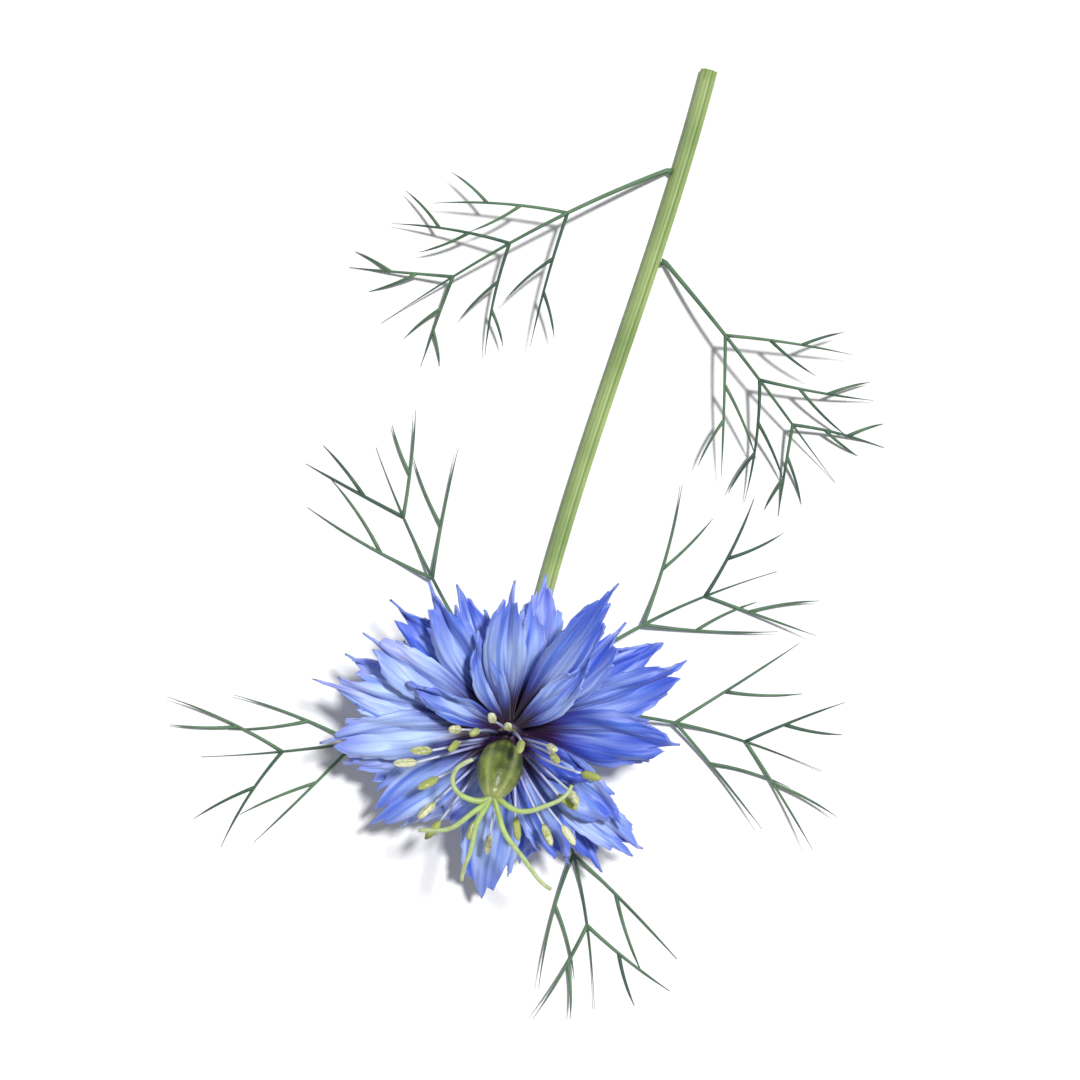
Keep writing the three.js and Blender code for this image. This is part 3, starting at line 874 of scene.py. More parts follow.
@dataclass
class Stem:
    """The ribbed stem, lying, with the neck that lifts the bloom."""

    crest: float = 0.98
    groove: float = 0.86
    ribs: int = 7
    height: float = 0.81
    run: float = 56.0
    flat_start: float = -8.0
    sway: float = 3.0
    lean: float = 28.0
    bend: float = 11.0
    seat_radius: float = 1.95
    seat_height: float = 2.4
    sides: int = 56
    lying_steps: int = 40
    neck_steps: int = 24
    seat_steps: int = 8
    # Rings on the cut face, as shares of its radius, and how near the end a face is part of it
    cut_rims: tuple[float, ...] = (0.72, 0.93)
    cut_depth: float = 0.05

    def lying(self, y: float) -> Vector:
        """Return the axis point of the lying stem at y."""
        share = (y - self.flat_start) / (self.run - self.flat_start)
        return Vector((self.sway * (1 - math.cos(math.pi * share)) / 2, y, self.height))

    def neck(self, angle: float) -> Vector:
        """Return the axis point of the neck at an angle in radians."""
        y = self.flat_start - self.bend * math.sin(angle)
        return Vector((0, y, self.height + self.bend * (1 - math.cos(angle))))

    @property
    def head(self) -> Head:
        """Directions of the stem's top."""
        return Head(self.lean)

    @property
    def turn(self) -> float:
        """How far the neck turns, in radians."""
        return math.radians(90 - self.lean)

    @property
    def neck_top(self) -> Vector:
        """Where the neck's arc ends."""
        return self.neck(self.turn)

    @property
    def seat(self) -> Vector:
        """Middle of the top face that carries the bloom."""
        return self.neck_top + self.head.up * self.seat_height

    def axis(self) -> list[Station]:
        """Follow the stem from its cut end to the seat.

        Returns:
            The points of the axis, with the swell at each as the radius.
        """
        swell = self.seat_radius / self.crest
        lying = [self.lying(lerp(self.run, self.flat_start, s)) for s in shares(self.lying_steps)]
        neck = [self.neck(self.turn * s) for s in shares(self.neck_steps)[1:-1]]
        axis = [Station(at, 1.0) for at in lying + neck]
        for s in shares(self.seat_steps):
            at = self.neck_top + self.head.up * (self.seat_height * s)
            axis.append(Station(at, lerp(1.0, swell, smooth(s))))
        return axis

    def build(self) -> bpy.types.Object:
        """Roll the ribbed skin, and lay the pith bare at the cut end.

        Returns:
            The stem as one piece.
        """
        mean = (self.crest + self.groove) / 2
        wave = (self.crest - self.groove) / 2 / mean
        offset = math.pi / (2 * self.ribs)
        stations = [Station(one.at, mean * one.radius) for one in self.axis()]
        end = stations[0]
        rims = [Station(end.at, end.radius * share) for share in self.cut_rims]
        skin = Skin()
        skin.tube(
            [*rims, *stations],
            self.sides,
            UP,
            section=lambda turn: 1 + wave * math.cos(self.ribs * (turn + offset)),
            floor=0.0,
        )
        for face in skin.mesh.faces:
            if abs(face.calc_center_median().y - end.at.y * MM) < self.cut_depth * MM:
                face.smooth = False
                face.material_index = 1
        return skin.piece("stem_ribbed", StemFinish(self.ribs).build(), PithFinish().build())


# ---- Sepals ----


@dataclass(frozen=True)
class Core:
    """A short cone that organs grow from."""

    foot: Vector
    head: Head
    radius: float
    top: float
    height: float

    def at(self, rise: float) -> Vector:
        """Return the axis point at a height over the foot."""
        return self.foot + self.head.up * rise

    def ring(self, share: float) -> Station:
        """Return the ring at a share of the height."""
        return Station(self.at(self.height * share), lerp(self.radius, self.top, share))


@dataclass
class Receptacle:
    """The cone on the end of the stem that carries the sepals, closed onto the stem's seat."""

    core: Core
    seat_radius: float
    gap: float
    steps: int = 9
    sides: int = 32

    def build(self) -> bpy.types.Object:
        """Roll the cone, closed onto the stem's seat.

        Returns:
            The receptacle as one piece.
        """
        seat = Station(self.core.at(-self.gap), self.seat_radius)
        cone = [self.core.ring(s) for s in shares(self.steps)[1:]]
        skin = Skin()
        skin.tube([seat, *cone], self.sides, self.core.head.back)
        return skin.piece("receptacle", ReceptacleFinish().build())


@dataclass(frozen=True)
class Ripple:
    """A wave over a blade.

    It has a height in millimetres, turns along, across and by phase in radians, and the shares of
    the length at which it starts and is full.
    """

    height: float
    along: float
    across: float
    shift: float
    start: float
    full: float

    def at(self, t: float, c: float, phase: float) -> float:
        """Return the height of the wave at t along and c across, for a blade's phase."""
        turn = self.along * t + self.across * c + self.shift * phase
        return self.height * math.sin(turn) * smooth((t - self.start) / (self.full - self.start))


@dataclass
class Sepal:
    """One sepal: a toothed, cupped blade on a narrow claw, with its angles in radians."""

    azimuth: float
    root: Vector
    bow: Bow
    half: float
    twist: float
    sway: float
    cup: float
    fold: float
    tip: float
    margin: Sequence[float]
    places: Sequence[float]
    tone: float
    phase: float
    head: Head

    # Keeps a rounded share from falling into the span before its own
    ROUNDING = 1e-6
    # Half width of the claw, place of the greatest width, and how late the blade tapers after it
    CLAW, WIDEST, TAPER = 0.15, 0.6, 1.6
    # How near the end the margin's lobes keep, as a power of the share along
    END = 3
    # Depth of the nick beside a lobe, the least step that has one, and how blunt the lobes are
    NICK, STEP, BLUNT = 0.03, 0.03, 0.8
    # Teeth along the sides: number, shift by phase, depth, where they start and how fast they grow
    TEETH, TEETH_SHIFT, TOOTH, TOOTHED, TOOTH_GROWTH = 11.0, 1.7, 0.1, 0.5, 5
    # How near the teeth keep to the edge, as a power of the place across
    EDGE = 6
    # Height of each relief in millimetres, with its number or width, and how fast it rises
    PLEATS, PLEAT, PLEAT_RISE = 9, 0.035, 2.2
    FURROW_WIDTH, FURROW, FURROW_RISE = 0.125, 0.16, 3
    # Turns of the ruffle along, across and by phase, and its height at the corners
    RUFFLES, RUFFLE = (15, 3, 6.3), 0.5
    CRUMPLES = (
        Ripple(0.34, 7, -5, 9.1, 0.3, 0.8),
        Ripple(0.2, 19, 8, 4.3, 0.2, 0.7),
        Ripple(0.7, 0, 6, 11.7, 0.78, 1.0),
    )

    def width(self, t: float) -> float:
        """Work out how wide the blade is.

        Args:
            t: Share of the length.

        Returns:
            The half width, as a share of the greatest.
        """
        if t < self.WIDEST:
            return lerp(self.CLAW, 1.0, smooth(t / self.WIDEST))
        return 1 - (1 - self.tip) * ((t - self.WIDEST) / (1 - self.WIDEST)) ** self.TAPER

    def span(self, u: float) -> tuple[int, float]:
        """Find the span of the margin, from one crest or notch to the next.

        Args:
            u: Share across the whole margin.

        Returns:
            The number of the span, and the share across it.
        """
        spans = len(self.margin) - 1
        i = min(int(u * spans + self.ROUNDING), spans - 1)
        return i, u * spans - i

    def edge(self, u: float) -> float:
        """Work out how far the lobes and notches of the margin reach.

        Args:
            u: Share across.

        Returns:
            The height there, as a share of the length.
        """
        i, x = self.span(u)
        here, there = self.margin[i], self.margin[i + 1]
        tall, low = max(here, there), min(here, there)
        x = x if here >= there else 1 - x
        nick = self.NICK * smooth((x - 0.5) / 0.5) if tall - low > self.STEP else 0.0
        return lerp(tall, low, max(x, 0.0) ** self.BLUNT) - nick

    def jag(self, t: float, c: float) -> float:
        """Cut small teeth along the sides.

        Args:
            t: Share of the length.
            c: Place across, from -1 to 1.

        Returns:
            The share of the width that is left.
        """
        rise = (t * self.TEETH + self.phase * self.TEETH_SHIFT) % 1.0
        grown = smooth((t - self.TOOTHED) * self.TOOTH_GROWTH)
        return 1 - self.TOOTH * (1 - rise) * c**self.EDGE * grown

    def relief(self, t: float, c: float) -> float:
        """Add up the fine relief over the blade.

        Args:
            t: Share of the length.
            c: Place across, from -1 to 1.

        Returns:
            Its height in millimetres.
        """
        along, across, shift = self.RUFFLES
        ruffle = math.sin(along * t + across * c + shift * self.phase) * c * c * t * t
        pleats = math.cos(self.PLEATS * math.pi * c + self.phase) * smooth(t * self.PLEAT_RISE)
        furrow = math.exp(-((c / self.FURROW_WIDTH) ** 2)) * smooth(t * self.FURROW_RISE)
        crumples = sum(ripple.at(t, c, self.phase) for ripple in self.CRUMPLES)
        return self.PLEAT * pleats + self.RUFFLE * ruffle + crumples - self.FURROW * furrow

    def place(self, u: float, v: float) -> Vector:
        """Find a point of the blade.

        Args:
            u: Share across.
            v: Share along, from the claw to the margin.

        Returns:
            The point, in millimetres.
        """
        i, x = self.span(u)
        c = lerp(self.places[i], self.places[i + 1], x)
        t = v * (1 - v**self.END * (1 - self.edge(u)))
        out_by, rise, slope = self.bow.at(t)
        out, side = self.head.axes(self.azimuth + self.sway * t * t)
        face = self.head.up * math.cos(slope) - out * math.sin(slope)
        width = self.half * self.width(t)
        x = c * width * self.jag(t, c)
        z = width * (self.cup * c * c - self.fold * math.cos(2 * math.pi * c) * t)
        z += self.relief(t, c)
        twist = self.twist * t
        return (
            self.root
            + out * out_by
            + self.head.up * rise
            + side * (x * math.cos(twist) - z * math.sin(twist))
            + face * (x * math.sin(twist) + z * math.cos(twist))
        )


# Direction, reach seen from above, half width, and place from the outermost layer to the innermost
SEPAL_ROWS = (
    (6, 17.9, 3.2, 0.0), (16, 18.9, 3.5, 0.5), (33, 21.0, 2.6, 0.25), (47, 19.0, 2.4, 0.05),
    (57, 17.2, 2.4, 0.6), (73, 19.8, 2.2, 0.75), (86, 17.4, 2.6, 0.1), (95, 15.2, 2.5, 0.45),
    (106, 16.7, 2.3, 0.8), (122, 16.7, 2.5, 0.2), (134, 18.3, 2.5, 0.5), (147, 19.1, 2.6, 0.1),
    (159, 19.7, 2.6, 0.65), (170, 20.7, 2.7, 0.15), (180, 22.6, 2.4, 0.4), (194, 21.2, 3.0, 0.5),
    (210, 19.6, 3.0, 0.3), (225, 19.6, 3.3, 0.45), (241, 16.4, 2.5, 0.2), (256, 13.6, 2.1, 0.5),
    (274, 20.7, 3.3, 0.35), (290, 17.4, 2.6, 0.1), (306, 17.0, 2.8, 0.6), (318, 19.4, 2.6, 0.2),
    (328, 21.3, 2.5, 0.45), (340, 16.6, 2.9, 0.8), (58, 12.4, 1.7, 1.0), (118, 11.8, 1.8, 0.95),
    (156, 12.2, 1.7, 1.0), (350, 11.4, 1.7, 1.0),
)


@dataclass
class Corolla:
    """The sepals in their layers, on the end of the stem inside the bloom."""

    core: Core
    lean: float = 15.0
    swing: float = 4.0
    base_rise: Pair = (18.0, 42.0)
    tip_rise: Pair = (-26.0, 0.0)
    root_rise: Pair = (0.5, 2.2)
    narrow: float = 1.2
    broad: float = 2.6
    cup: float = 0.12
    narrow_cup: float = 0.45
    fold: float = 0.12
    tip: Pair = (0.12, 0.34)
    blunt: float = 0.15
    lobes: int = 5
    shoulder: float = 0.82
    notch: float = 0.075
    lobe_dip: float = 0.02
    # Painted light on one side and painted shade on the other: where, how strong, how narrow
    painted_light_side: float = 212.0
    painted_light_by: float = 0.7
    painted_light_focus: int = 2
    painted_shade_side: float = 12.0
    painted_shade_by: float = 0.85
    painted_shade_focus: int = 8
    dulled: float = 0.06
    thickness: float = 0.26
    across: int = 40
    along: int = 32

    FIRST_SEED = 100
    # Most that a sepal strays from the rule, in degrees or in the field's own unit
    BASE, END, TWIST, SWAY, CUP, FOLD, TIP, TONE = 3, 7, 15, 6, 0.08, 0.06, 0.1, 0.5
    SHOULDER, ASIDE, NOTCH, LOBE = 0.05, 0.18, 0.8, 0.06

    def sepal(self, index: int) -> Sepal:
        """Work out one sepal.

        Args:
            index: Its number in the rows.

        Returns:
            The sepal.
        """
        heading, reach, half, inner = SEPAL_ROWS[index]
        draw = Draws(self.FIRST_SEED + index)
        azimuth = math.radians(heading)
        swing = math.radians(self.swing) * math.sin(azimuth)
        start = math.radians(lerp(*self.base_rise, inner) + self.BASE * draw()) + swing
        end = math.radians(lerp(*self.tip_rise, inner) + self.END * draw()) + swing
        level = (start + end) / 2 + math.radians(self.lean) * math.sin(azimuth)
        breadth = min((half - self.narrow) / (self.broad - self.narrow), 1.0)
        blunt = self.blunt * max(half - self.broad, 0.0)
        cup = self.cup + self.narrow_cup * max(self.broad - half, 0.0)
        return Sepal(
            azimuth=azimuth,
            root=self.core.at(lerp(*self.root_rise, inner)),
            bow=Bow(reach / math.cos(level), start, end),
            half=half,
            twist=math.radians(self.TWIST * draw()),
            sway=math.radians(self.SWAY * draw()),
            cup=cup + self.CUP * draw(),
            fold=self.fold + self.FOLD * draw(),
            tip=lerp(*self.tip, breadth) + blunt + self.TIP * draw(),
            **self.margin(self.notch * breadth, draw),
            # Random tone plus painted side light and shade
            tone=self.TONE * draw() + self.painted_side_light(azimuth),
            phase=draw(),
            head=Head(self.lean),
        )

    def painted_side_light(self, azimuth: float) -> float:
        """Work out the painted light and shade on each side of the bloom.

        Args:
            azimuth: Direction of the sepal, in radians.

        Returns:
            What the tone gains.
        """
        pale = max(math.cos(azimuth - math.radians(self.painted_light_side)), 0.0)
        deep = max(math.cos(azimuth - math.radians(self.painted_shade_side)), 0.0)
        lighter = self.painted_light_by * pale**self.painted_light_focus
        return lighter - self.painted_shade_by * deep**self.painted_shade_focus - self.dulled

    def margin(self, notch: float, draw: Draws) -> dict[str, list[float]]:
        """Set the lobes and notches across a sepal's end.

        Args:
            notch: Depth of a notch, as a share of the length.
            draw: The sepal's draws.

        Returns:
            Their places from -1 to 1, and the height of the margin at each.
        """
        even = [j / (self.lobes - 1) - 1 for j in range(2 * self.lobes - 1)]
        shoulder = self.shoulder + self.SHOULDER * draw()
        aside = self.ASIDE * draw()
        heights = []
        for j, c in enumerate(even):
            dip = notch * (1 + self.NOTCH * draw()) if j % 2 else self.lobe_dip * (1 + draw())
            heights.append(lerp(1.0, shoulder, abs(c)) - dip)
        places = [c + (aside + self.LOBE * draw()) * (1 - c * c) for c in even]
        return {"margin": heights, "places": places}

    def build(self) -> bpy.types.Object:
        """Lay every blade, and give them all their thickness.

        Returns:
            The sepals as one piece.
        """
        skin = Skin()
        for index in range(len(SEPAL_ROWS)):
            one = self.sepal(index)
            skin.sheet(self.across, self.along, one.place, one.tone)
        blades = skin.piece("sepal_layers", SepalFinish().build())
        wall = blades.modifiers.new("thickness", "SOLIDIFY")
        wall.thickness = self.thickness * MM
        wall.offset = 0.0
        return blades


# ---- Stamens ----


@dataclass
class Stamens:
    """Filaments with their anthers, on a low core."""

    core: Core
    count: int = 21
    golden: float = 137.508
    length: float = 9.0
    radius: float = 0.16
    taper: Pair = (1.25, 0.75)
    root: float = 0.85
    root_rise: Pair = (0.45, 0.65)
    base_rise: float = 44.0
    tip_rise: float = 40.0
    swing: float = 22.0
    base_swing: float = 4.4
    sway: float = 0.4
    anther_length: float = 2.5
    anther_radius: float = 0.5
    steps: int = 12
    sides: int = 8

    SHAPE_SEED, TONE_SEED = 300, 500
    # Most that a stamen strays: its length as a share, and its slopes and the anther's in degrees
    LENGTH, BASE, END, NOD = 0.2, 4, 11, 20
    # Radius along an anther, as a share of its greatest
    ANTHER = (0.28, 0.62, 0.86, 0.97, 1.0, 1.0, 0.98, 0.97, 0.95, 0.9, 0.78, 0.55, 0.22)
    ANTHER_SIDES = 16
    # Number of its pouches, and the mean and the wave of the radius round it, as shares
    POUCHES, POUCH_MEAN, POUCH_WAVE = 4, 0.86, 0.084
    CORE_STEPS, CORE_SIDES = 6, 24

    def stations(self, index: int) -> tuple[list[Station], list[Station]]:
        """Work out one stamen.

        Args:
            index: Its number.

        Returns:
            The stations of its filament and of its anther.
        """
        draw = Draws(self.SHAPE_SEED + index)
        azimuth = math.radians(self.golden * index)
        tilt = math.sin(azimuth)
        foot = self.core.at(lerp(*self.root_rise, index / (self.count - 1)))
        length = self.length * (1 + self.LENGTH * draw())
        start = math.radians(self.base_rise + self.BASE * draw() + self.base_swing * tilt)
        end = math.radians(self.tip_rise + self.END * draw() + self.swing * tilt)
        slope = end + math.radians(self.NOD * draw())
        sway = self.sway * draw()
        out, side = self.core.head.axes(azimuth)
        bow = Bow(length, start, end)

        def at(s: float) -> Vector:
            """Follow the filament, and go straight on beyond its end.

            Args:
                s: Share of the filament's length.

            Returns:
                The point, in millimetres.
            """
            out_by, rise, _ = bow.at(min(s, 1.0))
            beyond = max(s - 1, 0.0) * length
            return (
                foot
                + out * (self.root + out_by + beyond * math.cos(slope))
                + side * (sway * math.sin(math.pi * min(s, 1.0)))
                + self.core.head.up * (rise + beyond * math.sin(slope))
            )

        share = self.anther_length / length
        filament = [Station(at(s), self.radius * lerp(*self.taper, s)) for s in shares(self.steps)]
        anther = [
            Station(at(1 + share * s), self.anther_radius * swell)
            for s, swell in zip(shares(len(self.ANTHER) - 1), self.ANTHER)
        ]
        return filament, anther

    def build(self) -> bpy.types.Object:
        """Roll the core, and a filament and an anther for each stamen.

        Returns:
            The stamens as one piece.
        """
        head = self.core.head
        skin = Skin()
        core = [self.core.ring(s) for s in shares(self.CORE_STEPS)]
        skin.tube(core, self.CORE_SIDES, head.back, finish=2)
        for index in range(self.count):
            filament, anther = self.stations(index)
            tone = Draws(self.TONE_SEED + index)()
            skin.tube(filament, self.sides, head.up, tone)
            skin.tube(anther, self.ANTHER_SIDES, head.up, tone, 1, self.pouches)
        finishes = (FilamentFinish(), AntherFinish(), ReceptacleFinish())
        return skin.piece("stamens_fine", *(finish.build() for finish in finishes))

    def pouches(self, turn: float) -> float:
        """Return the radius of an anther's pouches at an angle round, as a share."""
        return self.POUCH_MEAN - self.POUCH_WAVE * math.cos(self.POUCHES * turn)


# ---- Pistil ----


@dataclass(frozen=True)
class StyleShape:
    """One style: its heading and how far it swings, its length and its slopes."""

    heading: float
    swing: float
    length: float
    start: float
    end: float


@dataclass
class Pistil:
    """The lobed ovary and its curling styles."""

    foot: Vector
    length: float = 8.0
    radius: float = 2.5
    carpels: int = 5
    lean: Pair = (32.0, 50.0)
    seam: float = 0.15
    seam_sharp: float = 0.7
    blur: float = 0.05
    rows: int = 28
    sides: int = 60
    style_root: float = 0.93
    style_radius: float = 0.32
    style_taper: Pair = (1.15, 0.65)
    style_slim: float = 0.8
    style_steps: int = 28
    style_sides: int = 10
    wobble: float = 0.16
    wobble_rise: float = 3.0
    styles: tuple[StyleShape, ...] = (
        StyleShape(243, -218, 9, 14, 8),
        StyleShape(248, -52, 9.4, 16, -30),
        StyleShape(254, 24, 10.4, 16, -36),
        StyleShape(297, 38, 12.4, 14, -30),
        StyleShape(326, 112, 9.8, 18, 0),
    )
    # Share of the ovary's length, and its radius there as a share of the greatest
    profile: tuple[Pair, ...] = (
        (0.0, 0.34), (0.08, 0.52), (0.25, 0.88), (0.5, 1.0), (0.72, 0.88), (0.88, 0.6), (1.0, 0.28),
    )

    STYLE_SEED = 600
    # Beat of a style's wobble, and most that the beat and the phase stray
    BEAT, BEAT_STRAY, PHASE_STRAY = 9, 2, 3

    def axis(self, s: float) -> tuple[Vector, Head]:
        """Follow the ovary's axis.

        Args:
            s: Share of its length.

        Returns:
            The point, and the directions there.
        """
        start, end = (math.radians(90 - lean) for lean in self.lean)
        out, rise, slope = Bow(self.length, start, end).at(s)
        return self.foot + Vector((0, -out, rise)), Head(90 - math.degrees(slope))

    def girth(self, s: float) -> float:
        """Read the ovary's profile.

        Args:
            s: Share of its length. Beyond an end, the end counts.

        Returns:
            The radius, as a share of the greatest.
        """
        s = min(max(s, 0), 1)
        for (a, low), (b, high) in zip(self.profile, self.profile[1:]):
            if s <= b:
                return lerp(low, high, (s - a) / (b - a))
        return self.profile[-1][1]

    def wall(self, u: float, v: float) -> Vector:
        """Find a point of the ovary, which is closed at both ends.

        Args:
            u: Share round.
            v: Share along.

        Returns:
            The point, in millimetres.
        """
        i = round(v * (self.rows + 2)) - 1
        s = min(max(i, 0), self.rows) / self.rows
        at, head = self.axis(s)
        if i < 0 or i > self.rows:
            return at
        turn = 2 * math.pi * u
        back = abs(math.cos(self.carpels * turn / 2)) ** self.seam_sharp
        widths = [self.girth(s + near) for near in (-self.blur, 0, 0, self.blur)]
        width = sum(widths) / len(widths)
        reach = self.radius * width * (1 - self.seam * (1 - back))
        return at + head.outward(turn + math.pi / 2) * reach

    def style(self, shape: StyleShape, index: int) -> list[Station]:
        """Grow one style, step by step.

        Args:
            shape: Its shape.
            index: Its number.

        Returns:
            Its stations.
        """
        at, _ = self.axis(self.style_root)
        level = Head()
        draw = Draws(self.STYLE_SEED + index)
        beat = self.BEAT + self.BEAT_STRAY * draw()
        phase = self.PHASE_STRAY * draw()
        stations = []
        for s in shares(self.style_steps):
            side = level.outward(math.radians(shape.heading + shape.swing * s + 90))
            wobble = self.wobble * math.sin(beat * s + phase) * smooth(s * self.wobble_rise)
            radius = self.style_radius * lerp(*self.style_taper, s**self.style_slim)
            stations.append(Station(at + side * wobble, radius))
            middle = s + 0.5 / self.style_steps
            slope = math.radians(lerp(shape.start, shape.end, middle))
            out = level.outward(math.radians(shape.heading + shape.swing * middle))
            step = out * math.cos(slope) + level.up * math.sin(slope)
            at = at + step * (shape.length / self.style_steps)
        return stations

    def build(self) -> bpy.types.Object:
        """Roll the ovary and every style.

        Returns:
            The pistil as one piece.
        """
        skin = Skin()
        skin.sheet(self.sides, self.rows + 2, self.wall, rolled=True)
        for index, shape in enumerate(self.styles):
            skin.tube(self.style(shape, index), self.style_sides, UP, finish=1)
        return skin.piece("pistil_fine", OvaryFinish(self.carpels).build(), StyleFinish().build())


# ---- Thread-like foliage ----


@dataclass(frozen=True)
class Fork:
    """A side thread of a segment: where it leaves, on which side, and its share of length."""

    at: float
    side: int
    share: float


@dataclass
class Thread:
    """One thread of a frond's flat pattern: its course, its foot's radius and its rank."""

    at: Callable[[float], Pair]
    radius: float
    rank: int


@dataclass
class Frond:
    """A thread-cut frond: a main thread with pairs of forked segments."""

    reach: float
    seed: int
    nodes: tuple[float, ...]
    segment: float
    angle: float
    forks: tuple[Fork, ...]
    radius: float = 0.36
    tip: float = 0.26
    main: float = 1.35
    sheath: float = 0.85
    shrink: Pair = (1.15, 0.55)
    fork_angle: float = 36.0
    fork_curl: float = -0.2
    clear: float = 0.06
    slim: Pair = (0.56, 0.4)
    flatness: float = 0.16
    sides: int = 8

    # Most that the main thread bends, and that segments and forks stray, in degrees and shares
    BEND, TURN, LENGTH, CURL, FORK_TURN, FORK_LENGTH = 14, 6, 0.12, 9, 8, 0.15
    # Spans of the main thread, of a segment and of a fork
    SPANS = (28, 14, 9)
    # Share of the length where a tip starts, and the share of the radius that it loses
    TIP_START, TIP_LOSS = 0.7, 0.75
    # Heights over the floor that threads take in turn, and what sets the tones of fronds apart
    LEVELS, TONE_SEED = 4, 40

    def grow(self, root: Pair, heading: float, curl: float, length: float, rank: int) -> Thread:
        """Grow a thread that curls away from a root.

        Args:
            root: Where it starts in the flat pattern.
            heading: Its direction there, in radians.
            curl: How far the direction turns, in radians.
            length: Its length.
            rank: 1 for a segment, 2 for a fork. The main thread's is 0.

        Returns:
            The thread.
        """

        def at(s: float) -> Pair:
            """Return the point at share s of the thread."""
            turn = heading + curl * s
            return root[0] + length * s * math.cos(turn), root[1] + length * s * math.sin(turn)

        return Thread(at, self.radius, rank)

    def threads(self) -> list[Thread]:
        """Lay out the flat pattern.

        Returns:
            Its threads, the main one first.
        """
        draw = Draws(self.seed)
        bend = math.radians(self.BEND * draw())

        def main(s: float) -> Pair:
            """Return the point at share s of the main thread."""
            return self.reach * s, self.reach * bend * s * s

        made = [Thread(main, self.radius * self.main, 0)]
        for node in self.nodes:
            for side in (-1, 1):
                heading = 2 * bend * node + side * math.radians(self.angle + self.TURN * draw())
                length = self.segment * lerp(*self.shrink, node) * (1 + self.LENGTH * draw())
                curl = side * math.radians(self.CURL * draw())
                segment = self.grow(main(node), heading, curl, length, 1)
                made.append(segment)
                for fork in self.forks:
                    angle = math.radians(self.fork_angle + self.FORK_TURN * draw())
                    turn = fork.side * side * angle
                    reach = length * fork.share * (1 + self.FORK_LENGTH * draw())
                    start = heading + curl * fork.at + turn
                    root = segment.at(fork.at)
                    made.append(self.grow(root, start, self.fork_curl * turn, reach, 2))
        return made

    def build(self, name: str, part: GreenPart, base: Vector, lay: Shape) -> bpy.types.Object:
        """Build the frond.

        Args:
            name: Name of the piece.
            part: Which green part it is.
            base: Where the main thread leaves the stem's skin, in millimetres.
            lay: Gives each point of the flat pattern its place, in millimetres.

        Returns:
            The piece.
        """
        skin = Skin()
        for order, thread in enumerate(self.threads()):
            clear = self.clear * (1 + order % self.LEVELS / (self.LEVELS - 1))
            stations = [] if order else [Station(base, thread.radius * self.sheath)]
            for s in shares(self.SPANS[thread.rank]):
                radius = lerp(thread.radius, self.tip, s)
                at = lay(*thread.at(s))
                at.z = max(at.z, radius / 2 + clear)
                loss = self.TIP_LOSS * smooth((s - self.TIP_START) / (1 - self.TIP_START))
                stations.append(Station(at, radius * lerp(*self.slim, s) * (1 - loss)))
            tone = Draws(self.seed * self.TONE_SEED + order)()
            skin.tube(stations, self.sides, UP, tone, section=self.section)
        return skin.piece(name, ThreadFinish(part).build())

    def section(self, turn: float) -> float:
        """Return the radius of a slightly flat thread at an angle round, as a share."""
        return 1 - self.flatness * math.cos(turn) ** 2


@dataclass(frozen=True)
class FrondPlace:
    """Where a frond grows: its heading seen from above, its reach and seed, and y for a leaf."""

    heading: float
    reach: float
    seed: int
    at: float = 0.0


@dataclass
class Foliage(ABC):
    """Fronds of one kind on the stem."""

    stem: Stem
    gap: float
    places: tuple[FrondPlace, ...]
    nodes: tuple[float, ...]
    segment: float
    angle: float
    forks: tuple[Fork, ...]

    def build(self) -> list[bpy.types.Object]:
        """Build the fronds and return them in order."""
        return [self.frond(i + 1, place) for i, place in enumerate(self.places)]

    def pattern(self, place: FrondPlace) -> Frond:
        """Return the frond that grows at a place, not yet laid."""
        return Frond(place.reach, place.seed, self.nodes, self.segment, self.angle, self.forks)

    @abstractmethod
    def frond(self, number: int, place: FrondPlace) -> bpy.types.Object:
        """Build one frond.

        Args:
            number: Its number, from 1.
            place: Where it grows.

        Returns:
            The frond as one piece.
        """


@dataclass
class Involucre(Foliage):
    """The five bracts under the bloom."""

    places: tuple[FrondPlace, ...] = (
        FrondPlace(312, 33, 11),
        FrondPlace(14, 33, 12),
        FrondPlace(52, 31, 13),
        FrondPlace(142, 31, 14),
        FrondPlace(212, 34, 15),
    )
    nodes: tuple[float, ...] = (0.5, 0.74)
    segment: float = 18.0
    angle: float = 38.0
    forks: tuple[Fork, ...] = (Fork(at=0.4, side=-1, share=0.55),)
    foot_rise: float = 0.5
    foot_out: float = 1.1
    base_out: float = 1.08
    landing: float = 0.72
    flare: float = 0.012

    def frond(self, number: int, place: FrondPlace) -> bpy.types.Object:
        """Build one bract, that comes down to the floor from under the bloom.

        Args:
            number: Its number, from 1.
            place: Where it grows.

        Returns:
            The bract as one piece.
        """
        azimuth = math.radians(place.heading)
        foot = self.stem.neck_top + self.stem.head.up * self.foot_rise
        out = self.stem.head.outward(azimuth)
        start = foot + out * (self.stem.crest * self.foot_out + self.gap)
        base = foot + out * (self.stem.crest * self.base_out)
        ahead, aside = Head().axes(azimuth)

        def lay(along: float, across: float) -> Vector:
            """Find the place of a point of the flat pattern.

            Args:
                along: Millimetres along the frond.
                across: Millimetres across it.

            Returns:
                The place, in millimetres.
            """
            fall = smooth(min(along / (self.landing * place.reach), 1.0))
            at = start + ahead * along + aside * across
            at.z = lerp(start.z, 0.0, fall) + self.flare * across * across
            return at

        name = f"bract_threads_{number}"
        return self.pattern(place).build(name, GreenPart.BRACT, base, lay)


